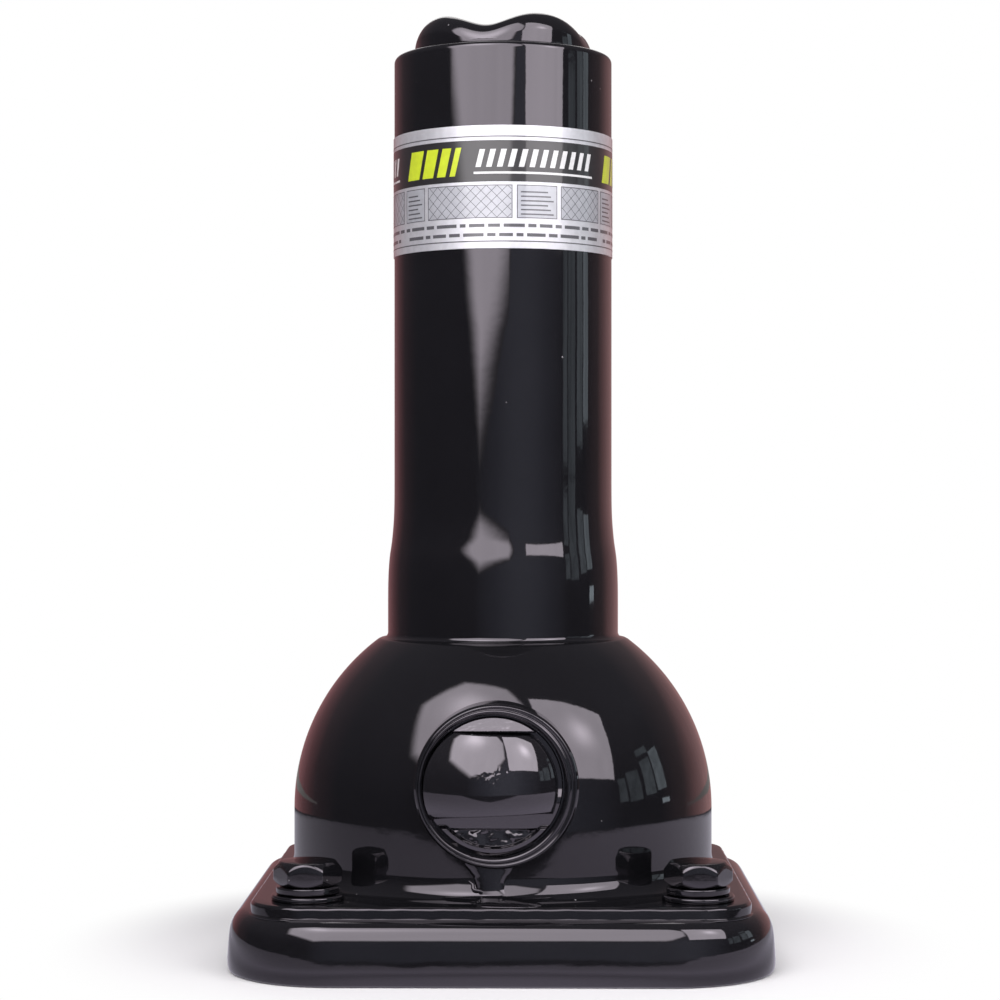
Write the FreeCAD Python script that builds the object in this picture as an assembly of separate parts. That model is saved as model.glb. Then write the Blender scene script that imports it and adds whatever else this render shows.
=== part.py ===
import FreeCAD, Part
import math
import os

from FreeCAD import Rotation, Vector

# Telescopic screw jack, in millimetres. The origin is the middle of the foot,
# +Z runs up the lift axis, the plugged boss faces -Y and the crank eye +Y.

# Base pan: a square pressing with a round bearing well let down to the floor
BASE_WIDTH = 121.0
BASE_HEIGHT = 13.5
BASE_CORNER_R = 24.0
BASE_SHOULDER_R = 8.0
BASE_SLOPE = 0.09
BASE_FOOT_R = 1.0
SHEET = 4.5
WELL_MOUTH_R = 2.0

# Gear housing: domed shell on a square flange
FLANGE_INSET = 6.0
FLANGE_CORNER_R = 12.0
FLANGE_THICKNESS = 2.5
FLANGE_EDGE_R = 1.0
SKIRT_INSET = 5.8
SKIRT_HEIGHT = 18.0
SKIRT_FILLET = 3.2
HOUSING_WALL = 2.5
NECK_LENGTH = 13.0
SEAT_LEDGE = 1.9
CROWN_PLATE_THICKNESS = 4.5

# Column tube with a belled foot that sits over the housing neck
TUBE_R = 25.4
TUBE_WALL = 3.0
BELL_SWELL = 1.5
BELL_TAPER_LENGTH = 18.0
COLUMN_LENGTH = 135.4
RIM_R = 1.4
NUT_LENGTH = 24.0
NUT_RECESS = 0.8
NUT_CHAMFER = 1.0

# Label wrapped on the column
LABEL_DROP = 19.1
LABEL_HEIGHT = 27.7
LABEL_THICKNESS = 0.2

# Flange bolts
BOLT_EDGE = 12.0
BOLT_R = 4.0
BOLT_HOLE_GAP = 0.5
HEX_ACROSS_FLATS = 13.0
HEAD_HEIGHT = 5.3
NUT_HEIGHT = 6.5
BOLT_PROUD = 1.0
FLAT_WASHER_R = 7.9
FLAT_WASHER_T = 1.2
SPRING_WASHER_R = 7.0
SPRING_WASHER_T = 1.9
SPRING_WASHER_GAP = 1.2
SPRING_WASHER_LEAN = 20.0

# Thrust bearing in the well
BEARING_PITCH_R = 27.0
RACE_HALF_WIDTH = 5.8
RACE_THICKNESS = 2.5
BALL_R = 3.0
BALL_COUNT = 12
GROOVE_DEPTH = 1.0
BALL_CLEARANCE = 0.06
CAGE_HEIGHT = 2.4
CAGE_MARGIN = 1.2
POST_R = 10.0
POST_FLANGE_R = 16.0

# Bevel gears: the pitch cones meet on the lift axis at the pinion's height
PINION_TEETH = 11
CROWN_TEETH = 32
PINION_HEIGHT = 27.8
CROWN_TO_SHELL = 11.0
CROWN_LAND = 3.94
PRESSURE_ANGLE = math.radians(20.0)
PROFILE_SHIFT = 0.35
ROOT_FACTOR = 1.25
BACKLASH = 0.22
FLANK_POINTS = 5
CROWN_RIM = 2.0
CROWN_FLOOR = 10.5
CROWN_SPIGOT = 1.5
CROWN_CHAMFER = 1.5

# Bosses on the dome: a plugged one in front, the pinion's bearing behind
BOSS_R = 17.8
BOSS_SETBACK = 4.0
BOSS_TO_CROWN = 1.8
BOSS_EDGE_R = 0.9
PLUG_WALL = 2.4
PLUG_TO_CROWN = 4.9
PLUG_RECESS = 1.4
PLUG_TOP_FLAT = 11.4
PLUG_LOW_FLAT = 6.8
PLUG_LOW_DRAFT = 2.5
PLUG_HEAD_PROUD = 4.4
PLUG_HEAD_EDGE = 0.4
PLUG_GROOVE_WIDTH = 0.7
PLUG_GROOVE_DEPTH = 0.6

# Pinion shaft, its bush and the crank eye
SHAFT_R = 8.0
HUB_LENGTH = 2.2
HUB_R = 10.8
THRUST_WASHER_T = 1.4
THRUST_WASHER_R = 13.0
BUSH_WALL = 3.5
BUSH_FLANGE_R = 14.2
BUSH_FLANGE_T = 2.0
BUSH_PROUD = 0.6
COUNTERBORE_R = 14.6
EYE_COLLAR_R = 11.0
EYE_COLLAR_LENGTH = 9.0
EYE_END_WALL = 3.0
EYE_HOLE_R = 7.0
EYE_RING_R = 12.5
EYE_THICKNESS = 9.0
EYE_EDGE_R = 1.5
EYE_PIN_R = 2.0

# Lifting screws, the slotted sleeve that turns them and the saddle
SLEEVE_WALL = 3.8
SLEEVE_INNER_GAP = 0.52
SLEEVE_TOP_BAND = 12.0
SCREW_WALL = 6.0
SCREW_RECESS = 1.0
SCREW_FOOT_GAP = 8.0
INNER_NUT_LENGTH = 25.0
STAGE_TRAVEL = 95.0
STOP_RING_PROUD = 1.2
STOP_RING_T = 2.5
STOP_RING_GROOVE = 1.2
STOP_RING_SLOT = 3.0
STOP_CLEARANCE = 0.3
INNER_TAIL = 5.0
KEY_WIDTH = 6.0
KEY_HEIGHT = 10.0
KEY_DEPTH = 3.0
KEY_REACH = 3.0
KEY_OFFSET = 4.0
SLEEVE_PIN_R = 1.5
SLEEVE_PIN_COUNT = 3
SLEEVE_PIN_LENGTH = 8.0
SADDLE_SETBACK = 4.8
SADDLE_HEIGHT = 8.3
SADDLE_GAP = 0.3
SADDLE_SIDE = 2.4
SADDLE_ROUND = 7.1
SADDLE_EDGE_R = 0.8
SADDLE_TURN = -13.0
SADDLE_GROOVE_R = 9.0
SADDLE_GROOVE_DEPTH = 3.0
SADDLE_GROOVE_CROSS = 90.0
TENON_SHOULDER = 5.0
TENON_DROP = 0.4

# Clearances between pieces that move on each other
RUNNING_FIT = 0.05
THREAD_FIT = 0.08
SLIDING_GAP = 0.15
FACE_GAP = 0.1

# Plan sizes, from the foot inwards
FLANGE_WIDTH = BASE_WIDTH - 2.0 * FLANGE_INSET
BOLT_SPACING = FLANGE_WIDTH - 2.0 * BOLT_EDGE
BOLT_HOLE_R = BOLT_R + BOLT_HOLE_GAP
DOME_R = FLANGE_WIDTH / 2.0 - SKIRT_INSET
SHELL_R = DOME_R - HOUSING_WALL
CROWN_PITCH_R = SHELL_R - CROWN_TO_SHELL
BOSS_REACH = FLANGE_WIDTH / 2.0 - BOSS_SETBACK
BOSS_ROOT = CROWN_PITCH_R + BOSS_TO_CROWN
PLUG_R = BOSS_R - PLUG_WALL
PLUG_END = CROWN_PITCH_R + PLUG_TO_CROWN

# Column sizes, from the tube inwards
TUBE_BORE_R = TUBE_R - TUBE_WALL
BELL_R = TUBE_R + BELL_SWELL
SEAT_R = BELL_R + SEAT_LEDGE
NECK_OUTER_R = BELL_R - TUBE_WALL
NECK_INNER_R = NECK_OUTER_R - HOUSING_WALL
SLEEVE_OUTER_R = NECK_INNER_R - THREAD_FIT
SLEEVE_INNER_R = SLEEVE_OUTER_R - SLEEVE_WALL
SCREW_R = SLEEVE_INNER_R - SLEEVE_INNER_GAP
INNER_SCREW_R = SCREW_R - SCREW_WALL
STOP_RING_R = INNER_SCREW_R + STOP_RING_PROUD
SADDLE_R = TUBE_R - SADDLE_SETBACK
SADDLE_CROWN_R = SADDLE_R - SADDLE_ROUND
TENON_R = INNER_SCREW_R - TENON_SHOULDER

# Levels up the lift axis
DOME_Z = BASE_HEIGHT + SKIRT_HEIGHT
FLANGE_TOP = BASE_HEIGHT + FLANGE_THICKNESS
SEAT_Z = DOME_Z + math.sqrt(DOME_R ** 2 - SEAT_R ** 2)
NECK_TOP = SEAT_Z + NECK_LENGTH
TUBE_TOP = SEAT_Z + COLUMN_LENGTH
NUT_TOP = TUBE_TOP - NUT_RECESS
NUT_BOTTOM = NUT_TOP - NUT_LENGTH
LABEL_TOP = TUBE_TOP - LABEL_DROP

# Bearing levels
LOWER_RACE_TOP = SHEET + RACE_THICKNESS
BALL_Z = LOWER_RACE_TOP + BALL_R - GROOVE_DEPTH
UPPER_RACE_BOTTOM = BALL_Z + BALL_R - GROOVE_DEPTH
CROWN_BOTTOM = UPPER_RACE_BOTTOM + RACE_THICKNESS
RACE_INNER_R = BEARING_PITCH_R - RACE_HALF_WIDTH
WELL_R = BEARING_PITCH_R + RACE_HALF_WIDTH

# Gear cones
PINION_Z = BASE_HEIGHT + PINION_HEIGHT
PINION_PITCH_R = CROWN_PITCH_R * PINION_TEETH / CROWN_TEETH
MODULE = 2.0 * CROWN_PITCH_R / CROWN_TEETH
CONE_LENGTH = math.hypot(CROWN_PITCH_R, PINION_PITCH_R)
PINION_CONE = math.atan2(PINION_PITCH_R, CROWN_PITCH_R)
CROWN_CONE = math.pi / 2.0 - PINION_CONE
INNER_SHARE = (SLEEVE_OUTER_R + CROWN_LAND) / CROWN_PITCH_R
PINION_ADDENDUM = (1.0 + PROFILE_SHIFT) * MODULE
PINION_DEDENDUM = (ROOT_FACTOR - PROFILE_SHIFT) * MODULE
CROWN_ADDENDUM = (1.0 - PROFILE_SHIFT) * MODULE
CROWN_DEDENDUM = (ROOT_FACTOR + PROFILE_SHIFT) * MODULE

# Pinion shaft stations along Y
PINION_BACK = CROWN_PITCH_R + PINION_DEDENDUM * math.sin(PINION_CONE)
HUB_END = PINION_BACK + HUB_LENGTH
WASHER_END = HUB_END + THRUST_WASHER_T
BUSH_FLANGE_START = WASHER_END + FACE_GAP
BUSH_SEAT = BUSH_FLANGE_START + BUSH_FLANGE_T
BUSH_END = BOSS_REACH + BUSH_PROUD
BUSH_R = SHAFT_R + RUNNING_FIT + BUSH_WALL
EYE_START = BUSH_END + FACE_GAP
SHAFT_END = EYE_START + EYE_COLLAR_LENGTH - FACE_GAP
EYE_CENTRE = EYE_START + EYE_COLLAR_LENGTH + EYE_END_WALL + EYE_HOLE_R
EYE_PIN_Y = EYE_START + EYE_COLLAR_LENGTH / 2.0

# Screw and sleeve levels
SLEEVE_SEAT = CROWN_BOTTOM + CROWN_FLOOR
SCREW_BOTTOM = SLEEVE_SEAT + SCREW_FOOT_GAP
SCREW_TOP = TUBE_TOP - SCREW_RECESS
SCREW_BORE_R = INNER_SCREW_R + THREAD_FIT
SCREW_RELIEF_R = STOP_RING_R + 2.0 * SLIDING_GAP
INNER_NUT_BOTTOM = SCREW_TOP - INNER_NUT_LENGTH
KEY_BOTTOM = SCREW_BOTTOM + KEY_OFFSET
KEY_TOP = KEY_BOTTOM + KEY_HEIGHT
SLOT_TOP = KEY_TOP + STAGE_TRAVEL + STOP_CLEARANCE
SLEEVE_TOP = SLOT_TOP + SLEEVE_TOP_BAND
STOP_RING_TOP = INNER_NUT_BOTTOM - STAGE_TRAVEL - STOP_CLEARANCE
INNER_BOTTOM = STOP_RING_TOP - STOP_RING_T - INNER_TAIL
SADDLE_BOTTOM = TUBE_TOP + SADDLE_GAP
SADDLE_TOP = SADDLE_BOTTOM + SADDLE_HEIGHT

ORIGIN = Vector(0, 0, 0)
X_AXIS = Vector(1, 0, 0)
Y_AXIS = Vector(0, 1, 0)
Z_AXIS = Vector(0, 0, 1)
APEX = Vector(0, 0, PINION_Z)
PAST = 2.0


def tube(outer_r, inner_r, low, high):
    """Upright ring or, with no inner radius, a solid cylinder."""
    ring = Part.makeCylinder(outer_r, high - low, Vector(0, 0, low))
    if inner_r > 0:
        ring = ring.cut(Part.makeCylinder(inner_r, high - low + 2 * PAST, Vector(0, 0, low - PAST)))
    return ring


def line(start, end):
    return Part.LineSegment(start, end).toShape()


def arc_about(centre, radius, start_deg, end_deg, place):
    """Arc in a half-plane, given by the angles of its ends about a centre."""
    ends = []
    for share in (0.0, 0.5, 1.0):
        angle = math.radians(start_deg + share * (end_deg - start_deg))
        ends.append(place(centre[0] + radius * math.cos(angle), centre[1] + radius * math.sin(angle)))
    return Part.Arc(*ends).toShape()


def upright(r, z):
    """A point of a section that is revolved about the lift axis."""
    return Vector(r, 0, z)


def revolve(edges, axis_point, axis):
    face = Part.Face(Part.Wire(edges))
    return face.revolve(axis_point, axis, 360.0)


def polygon_revolve(points, place, axis_point, axis):
    """Solid of revolution from straight-sided section points."""
    corners = [place(a, b) for a, b in points]
    corners.append(corners[0])
    return revolve(Part.makePolygon(corners).Edges, axis_point, axis)


def on_pinion(y, r):
    """A point of a section that is revolved about the pinion axis."""
    return Vector(0, y, PINION_Z + r)


def pinion_revolve(points):
    return polygon_revolve(points, on_pinion, APEX, Y_AXIS)


def lift_revolve(points):
    return polygon_revolve(points, upright, ORIGIN, Z_AXIS)


def rounded_square(width, corner_r, z):
    half = width / 2.0
    straight = half - corner_r
    bulge = straight + corner_r / math.sqrt(2.0)
    edges = []
    for quarter in range(4):
        turn = Rotation(Z_AXIS, 90 * quarter)
        start = turn.multVec(Vector(half, -straight, z))
        end = turn.multVec(Vector(half, straight, z))
        middle = turn.multVec(Vector(bulge, bulge, z))
        after = turn.multVec(Vector(straight, half, z))
        edges.append(line(start, end))
        edges.append(Part.Arc(end, middle, after).toShape())
    return Part.Wire(edges)


def edges_at(shape, z):
    """Edges that lie in the level plane at z."""
    found = []
    for edge in shape.Edges:
        box = edge.BoundBox
        if abs(box.ZMin - z) < 1e-4 and abs(box.ZMax - z) < 1e-4:
            found.append(edge)
    return found


def bolt_places():
    half = BOLT_SPACING / 2.0
    return [Vector(x, y, 0) for x in (-half, half) for y in (-half, half)]


def at_bolts(shape):
    """The same fastener at each flange corner, as separate solids."""
    copies = []
    for place in bolt_places():
        copy = shape.copy()
        copy.translate(place)
        copies.append(copy)
    return Part.makeCompound(copies)


def drill_bolt_holes(shape, low, high):
    drills = [Part.makeCylinder(BOLT_HOLE_R, high - low, place + Vector(0, 0, low)) for place in bolt_places()]
    return shape.cut(drills)


def hex_prism(across_flats, low, height):
    """Upright hexagon with its corners on X and both rims chamfered round."""
    corner_r = across_flats / math.sqrt(3.0)
    corners = []
    for step in range(7):
        angle = math.radians(60.0 * step)
        corners.append(Vector(corner_r * math.cos(angle), corner_r * math.sin(angle), low))
    prism = Part.Face(Part.makePolygon(corners)).extrude(Vector(0, 0, height))
    flat_r = across_flats / 2.0
    drop = (corner_r - flat_r) / math.sqrt(3.0)
    rounding = lift_revolve([(0, low), (flat_r, low), (corner_r, low + drop),
                             (corner_r, low + height - drop), (flat_r, low + height), (0, low + height)])
    return prism.common(rounding)


def pan_block(inset, top, shoulder_r):
    """Sloping square block whose faces lie a given inset inside the pan's outside."""
    foot = rounded_square(BASE_WIDTH - 2 * inset, BASE_CORNER_R - inset, 0)
    lean = BASE_SLOPE * top
    crest = rounded_square(BASE_WIDTH - 2 * inset - 2 * lean, BASE_CORNER_R - inset - lean, top)
    block = Part.makeLoft([foot, crest], True, True)
    return block.makeFillet(shoulder_r, edges_at(block, top))


def base_plate():
    outside = pan_block(0.0, BASE_HEIGHT, BASE_SHOULDER_R)
    outside = outside.makeFillet(BASE_FOOT_R, edges_at(outside, 0.0))
    hollow = pan_block(SHEET, BASE_HEIGHT - SHEET, BASE_SHOULDER_R - SHEET)
    hollow = hollow.cut(tube(WELL_R + SHEET, 0, -PAST, BASE_HEIGHT))
    well = tube(WELL_R, 0, SHEET, BASE_HEIGHT + PAST)
    pan = outside.cut([hollow, well])
    mouth = [edge for edge in edges_at(pan, BASE_HEIGHT) if abs(edge.BoundBox.XMax - WELL_R) < 1e-3]
    pan = pan.makeFillet(WELL_MOUTH_R, mouth)
    return drill_bolt_holes(pan, -PAST, BASE_HEIGHT + PAST)


def gear_housing():
    ceiling = SEAT_Z - CROWN_PLATE_THICKNESS
    ceiling_r = math.sqrt(SHELL_R ** 2 - (ceiling - DOME_Z) ** 2)
    seat_deg = math.degrees(math.acos(SEAT_R / DOME_R))
    ceiling_deg = math.degrees(math.acos(ceiling_r / SHELL_R))
    toe_r = DOME_R + SKIRT_FILLET
    toe_z = FLANGE_TOP + SKIRT_FILLET
    section = [
        line(upright(SHELL_R, BASE_HEIGHT), upright(toe_r, BASE_HEIGHT)),
        line(upright(toe_r, BASE_HEIGHT), upright(toe_r, FLANGE_TOP)),
        arc_about((toe_r, toe_z), SKIRT_FILLET, 270.0, 180.0, upright),
        line(upright(DOME_R, toe_z), upright(DOME_R, DOME_Z)),
        arc_about((0.0, DOME_Z), DOME_R, 0.0, seat_deg, upright),
        line(upright(SEAT_R, SEAT_Z), upright(NECK_OUTER_R, SEAT_Z)),
        line(upright(NECK_OUTER_R, SEAT_Z), upright(NECK_OUTER_R, NECK_TOP)),
        line(upright(NECK_OUTER_R, NECK_TOP), upright(NECK_INNER_R, NECK_TOP)),
        line(upright(NECK_INNER_R, NECK_TOP), upright(NECK_INNER_R, ceiling)),
        line(upright(NECK_INNER_R, ceiling), upright(ceiling_r, ceiling)),
        arc_about((0.0, DOME_Z), SHELL_R, ceiling_deg, 0.0, upright),
        line(upright(SHELL_R, DOME_Z), upright(SHELL_R, BASE_HEIGHT)),
    ]
    dome = revolve(section, ORIGIN, Z_AXIS)
    flange = Part.Face(rounded_square(FLANGE_WIDTH, FLANGE_CORNER_R, BASE_HEIGHT))
    flange = flange.extrude(Vector(0, 0, FLANGE_THICKNESS))
    flange = flange.makeFillet(FLANGE_EDGE_R, edges_at(flange, FLANGE_TOP))
    flange = flange.cut(tube(SHELL_R, 0, 0, DOME_Z))
    shell = dome.fuse(flange).removeSplitter()
    reach = 2.0 * DOME_R
    boss_drill = Part.makeCylinder(BOSS_R, 2.0 * reach, Vector(0, -reach, PINION_Z), Y_AXIS)
    shell = shell.cut(boss_drill)
    return drill_bolt_holes(shell, 0, FLANGE_TOP + PAST)


def column_tube():
    taper_top = NECK_TOP + BELL_TAPER_LENGTH
    blank = lift_revolve([(NECK_OUTER_R, SEAT_Z), (BELL_R, SEAT_Z), (BELL_R, NECK_TOP), (TUBE_R, taper_top),
                          (TUBE_R, TUBE_TOP), (TUBE_BORE_R, TUBE_TOP), (TUBE_BORE_R, taper_top),
                          (NECK_OUTER_R, NECK_TOP)])
    rim = [edge for edge in edges_at(blank, TUBE_TOP) if abs(edge.BoundBox.XMax - TUBE_R) < 1e-3]
    return blank.makeFillet(RIM_R, rim)


def column_nut():
    thread_r = SCREW_R + THREAD_FIT
    return lift_revolve([(thread_r, NUT_BOTTOM), (TUBE_BORE_R, NUT_BOTTOM), (TUBE_BORE_R, NUT_TOP),
                         (thread_r + NUT_CHAMFER, NUT_TOP), (thread_r, NUT_TOP - NUT_CHAMFER)])


def label_band():
    return tube(TUBE_R + LABEL_THICKNESS, TUBE_R, LABEL_TOP - LABEL_HEIGHT, LABEL_TOP)


def base_bolts():
    head_low = FLANGE_TOP + FLAT_WASHER_T + SPRING_WASHER_T
    tip = BASE_HEIGHT - SHEET - NUT_HEIGHT - BOLT_PROUD
    head = hex_prism(HEX_ACROSS_FLATS, head_low, HEAD_HEIGHT)
    shank = tube(BOLT_R, 0, tip, head_low + HEAD_HEIGHT / 2.0)
    return at_bolts(head.fuse(shank).removeSplitter())


def base_nuts():
    top = BASE_HEIGHT - SHEET
    nut = hex_prism(HEX_ACROSS_FLATS, top - NUT_HEIGHT, NUT_HEIGHT)
    return at_bolts(nut.cut(tube(BOLT_R, 0, 0, BASE_HEIGHT)))


def flat_washers():
    return at_bolts(tube(FLAT_WASHER_R, BOLT_R, FLANGE_TOP, FLANGE_TOP + FLAT_WASHER_T))


def spring_washers():
    low = FLANGE_TOP + FLAT_WASHER_T
    ring = tube(SPRING_WASHER_R, BOLT_R, low, low + SPRING_WASHER_T)
    split = Part.makeBox(SPRING_WASHER_R * 2.0, SPRING_WASHER_GAP, SPRING_WASHER_T * 3.0,
                         Vector(0, -SPRING_WASHER_GAP / 2.0, low - SPRING_WASHER_T))
    split.rotate(Vector(SPRING_WASHER_R, 0, low + SPRING_WASHER_T / 2.0), X_AXIS, SPRING_WASHER_LEAN)
    return at_bolts(ring.cut(split))


def ball_groove():
    return Part.makeTorus(BEARING_PITCH_R, BALL_R + BALL_CLEARANCE, Vector(0, 0, BALL_Z))


def thrust_race_lower():
    return tube(WELL_R, RACE_INNER_R, SHEET, LOWER_RACE_TOP).cut(ball_groove())


def thrust_race_upper():
    outer_r = WELL_R - WELL_MOUTH_R / 2.0
    return tube(outer_r, RACE_INNER_R, UPPER_RACE_BOTTOM, CROWN_BOTTOM).cut(ball_groove())


def ball_angles():
    return [360.0 * step / BALL_COUNT for step in range(BALL_COUNT)]


def around(shape, angles):
    copies = []
    for angle in angles:
        copy = shape.copy()
        copy.rotate(ORIGIN, Z_AXIS, angle)
        copies.append(copy)
    return copies


def bearing_balls():
    ball = Part.makeSphere(BALL_R, Vector(BEARING_PITCH_R, 0, BALL_Z))
    return Part.makeCompound(around(ball, ball_angles()))


def bearing_cage():
    half = CAGE_HEIGHT / 2.0
    width = BALL_R + CAGE_MARGIN
    ring = tube(BEARING_PITCH_R + width, BEARING_PITCH_R - width, BALL_Z - half, BALL_Z + half)
    pocket = Part.makeCylinder(BALL_R + SLIDING_GAP, CAGE_HEIGHT + 2 * PAST,
                               Vector(BEARING_PITCH_R, 0, BALL_Z - half - PAST))
    return ring.cut(around(pocket, ball_angles()))


def centre_post():
    top = SLEEVE_SEAT + PAST
    return lift_revolve([(0, SHEET), (POST_FLANGE_R, SHEET), (POST_FLANGE_R, LOWER_RACE_TOP),
                         (POST_R, LOWER_RACE_TOP), (POST_R, top - NUT_CHAMFER), (POST_R - NUT_CHAMFER, top),
                         (0, top)])


def involute(angle):
    return math.tan(angle) - angle


def tooth_space(cone, teeth, shift, addendum, dedendum, radial, across, axis):
    """Cutter for one space of a straight bevel gear.

    The flanks are involutes on the developed back cone, drawn from the cone apex
    on to planes square to the pitch line, inside and outside the face width.
    """
    pitch_r = CONE_LENGTH * math.sin(cone)
    back_r = pitch_r / math.cos(cone)
    base_r = back_r * math.cos(PRESSURE_ANGLE)
    back_teeth = teeth / math.cos(cone)
    tooth_half = (math.pi / 2.0 + 2.0 * shift * math.tan(PRESSURE_ANGLE)) / back_teeth
    tooth_half = tooth_half - BACKLASH / (4.0 * back_r) + involute(PRESSURE_ANGLE)
    root_r = back_r - dedendum
    top_r = back_r + addendum + MODULE
    pitch_line = radial * math.sin(cone) + axis * math.cos(cone)

    def flank_point(radius, side, length):
        swept = involute(math.acos(base_r / max(radius, base_r)))
        turn = side * (math.pi / back_teeth - tooth_half + swept) / math.cos(cone)
        out = radial * math.cos(turn) + across * math.sin(turn)
        along = CONE_LENGTH * math.cos(cone) - (radius - back_r) * math.sin(cone)
        point = out * (radius * math.cos(cone)) + axis * along
        return APEX + point * (length / point.dot(pitch_line))

    def outline(length):
        start_r = max(root_r, base_r)
        radii = [start_r + (top_r - start_r) * step / (FLANK_POINTS - 1) for step in range(FLANK_POINTS)]
        near = [flank_point(radius, -1, length) for radius in radii]
        far = [flank_point(radius, 1, length) for radius in radii]
        near_root = flank_point(root_r, -1, length)
        far_root = flank_point(root_r, 1, length)
        near_curve = Part.BSplineCurve()
        near_curve.interpolate(near)
        far_curve = Part.BSplineCurve()
        far_curve.interpolate(list(reversed(far)))
        edges = [near_curve.toShape(), line(near[-1], far[-1]), far_curve.toShape()]
        if start_r > root_r:
            edges.append(line(far[0], far_root))
        edges.append(line(far_root, near_root))
        if start_r > root_r:
            edges.append(line(near_root, near[0]))
        return Part.Wire(edges)

    inner = outline(CONE_LENGTH * (INNER_SHARE - 0.15))
    outer = outline(CONE_LENGTH * 1.15)
    return Part.makeLoft([inner, outer], True, True)


def cut_teeth(blank, space, teeth, axis, first_deg):
    cutters = []
    for step in range(teeth):
        cutter = space.copy()
        cutter.rotate(APEX, axis, first_deg + 360.0 * step / teeth)
        cutters.append(cutter)
    return blank.cut(cutters)


def cone_point(cone, share, height):
    """Distance along the gear's axis from the apex, and radius, of a point off the pitch line."""
    length = CONE_LENGTH * share
    along = length * math.cos(cone) - height * share * math.sin(cone)
    radius = length * math.sin(cone) + height * share * math.cos(cone)
    return along, radius


def crown_gear():
    def level(point):
        return point[1], PINION_Z - point[0]

    tip_out = level(cone_point(CROWN_CONE, 1.0, CROWN_ADDENDUM))
    tip_in = level(cone_point(CROWN_CONE, INNER_SHARE, CROWN_ADDENDUM))
    root_in = level(cone_point(CROWN_CONE, INNER_SHARE, -CROWN_DEDENDUM))
    back = level(cone_point(CROWN_CONE, 1.0, -CROWN_DEDENDUM - CROWN_RIM))
    bore_r = POST_R + RUNNING_FIT
    spigot_r = RACE_INNER_R
    spigot_z = CROWN_BOTTOM - CROWN_SPIGOT
    blank = lift_revolve([(bore_r, spigot_z), (spigot_r, spigot_z), (spigot_r, CROWN_BOTTOM),
                          (back[0] - CROWN_CHAMFER, CROWN_BOTTOM), (back[0], CROWN_BOTTOM + CROWN_CHAMFER),
                          back, tip_out, tip_in, root_in, (SLEEVE_OUTER_R, root_in[1]),
                          (SLEEVE_OUTER_R, SLEEVE_SEAT), (bore_r, SLEEVE_SEAT)])
    space = tooth_space(CROWN_CONE, CROWN_TEETH, -PROFILE_SHIFT, CROWN_ADDENDUM, CROWN_DEDENDUM,
                        Y_AXIS, X_AXIS, Z_AXIS * -1.0)
    gear = cut_teeth(blank, space, CROWN_TEETH, Z_AXIS, 0.0)
    return gear.cut(sleeve_pin_shapes())


def sleeve_pin_shapes():
    """Dowels let in half to the crown's bore and half to the sleeve."""
    pin = Part.makeCylinder(SLEEVE_PIN_R, SLEEVE_PIN_LENGTH,
                            Vector(SLEEVE_OUTER_R, 0, SLEEVE_SEAT - SLEEVE_PIN_LENGTH / 2.0))
    return around(pin, [360.0 * step / SLEEVE_PIN_COUNT for step in range(SLEEVE_PIN_COUNT)])


def sleeve_pins():
    return Part.makeCompound(sleeve_pin_shapes())


def drive_sleeve():
    sleeve = tube(SLEEVE_OUTER_R, SLEEVE_INNER_R, SLEEVE_SEAT, SLEEVE_TOP)
    slot_width = KEY_WIDTH + 2.0 * SLIDING_GAP
    slot_low = KEY_BOTTOM - STOP_CLEARANCE
    slot = Part.makeBox(4.0 * SLEEVE_OUTER_R, slot_width, SLOT_TOP - slot_low,
                        Vector(-2.0 * SLEEVE_OUTER_R, -slot_width / 2.0, slot_low))
    return sleeve.cut([slot] + sleeve_pin_shapes())


def bevel_pinion():
    tip_out = cone_point(PINION_CONE, 1.0, PINION_ADDENDUM)
    tip_in = cone_point(PINION_CONE, INNER_SHARE, PINION_ADDENDUM)
    root_in = cone_point(PINION_CONE, INNER_SHARE, -PINION_DEDENDUM)
    root_out = cone_point(PINION_CONE, 1.0, -PINION_DEDENDUM)
    teeth_blank = pinion_revolve([(root_in[0], 0), root_in, tip_in, tip_out, root_out, (root_out[0], 0)])
    space = tooth_space(PINION_CONE, PINION_TEETH, PROFILE_SHIFT, PINION_ADDENDUM, PINION_DEDENDUM,
                        Z_AXIS * -1.0, X_AXIS, Y_AXIS)
    toothed = cut_teeth(teeth_blank, space, PINION_TEETH, Y_AXIS, 180.0 / PINION_TEETH)
    shaft = pinion_revolve([(PINION_BACK, 0), (PINION_BACK, HUB_R), (HUB_END, HUB_R), (HUB_END, SHAFT_R),
                            (SHAFT_END, SHAFT_R), (SHAFT_END, 0)])
    return toothed.fuse(shaft).cut(eye_pin())


def thrust_washer():
    return pinion_revolve([(HUB_END, SHAFT_R), (HUB_END, THRUST_WASHER_R), (WASHER_END, THRUST_WASHER_R),
                           (WASHER_END, SHAFT_R)])


def pinion_bush():
    bore_r = SHAFT_R + RUNNING_FIT
    return pinion_revolve([(BUSH_FLANGE_START, bore_r), (BUSH_FLANGE_START, BUSH_FLANGE_R),
                           (BUSH_SEAT, BUSH_FLANGE_R), (BUSH_SEAT, BUSH_R), (BUSH_END, BUSH_R),
                           (BUSH_END, bore_r)])


def round_rim(shape, y, radius, rounding):
    """Rounds the circular edge of a given radius about the pinion axis at a given Y."""
    rims = []
    for edge in shape.Edges:
        box = edge.BoundBox
        level_ring = abs(box.YMin - y) < 1e-4 and abs(box.YMax - y) < 1e-4
        if level_ring and abs(box.XMax - radius) < 1e-3:
            rims.append(edge)
    return shape.makeFillet(rounding, rims)


def pinion_boss():
    ring = pinion_revolve([(BOSS_ROOT, COUNTERBORE_R), (BOSS_ROOT, BOSS_R), (BOSS_REACH, BOSS_R),
                           (BOSS_REACH, BUSH_R), (BUSH_SEAT, BUSH_R), (BUSH_SEAT, COUNTERBORE_R)])
    return round_rim(ring, BOSS_REACH, BOSS_R, BOSS_EDGE_R)


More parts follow.
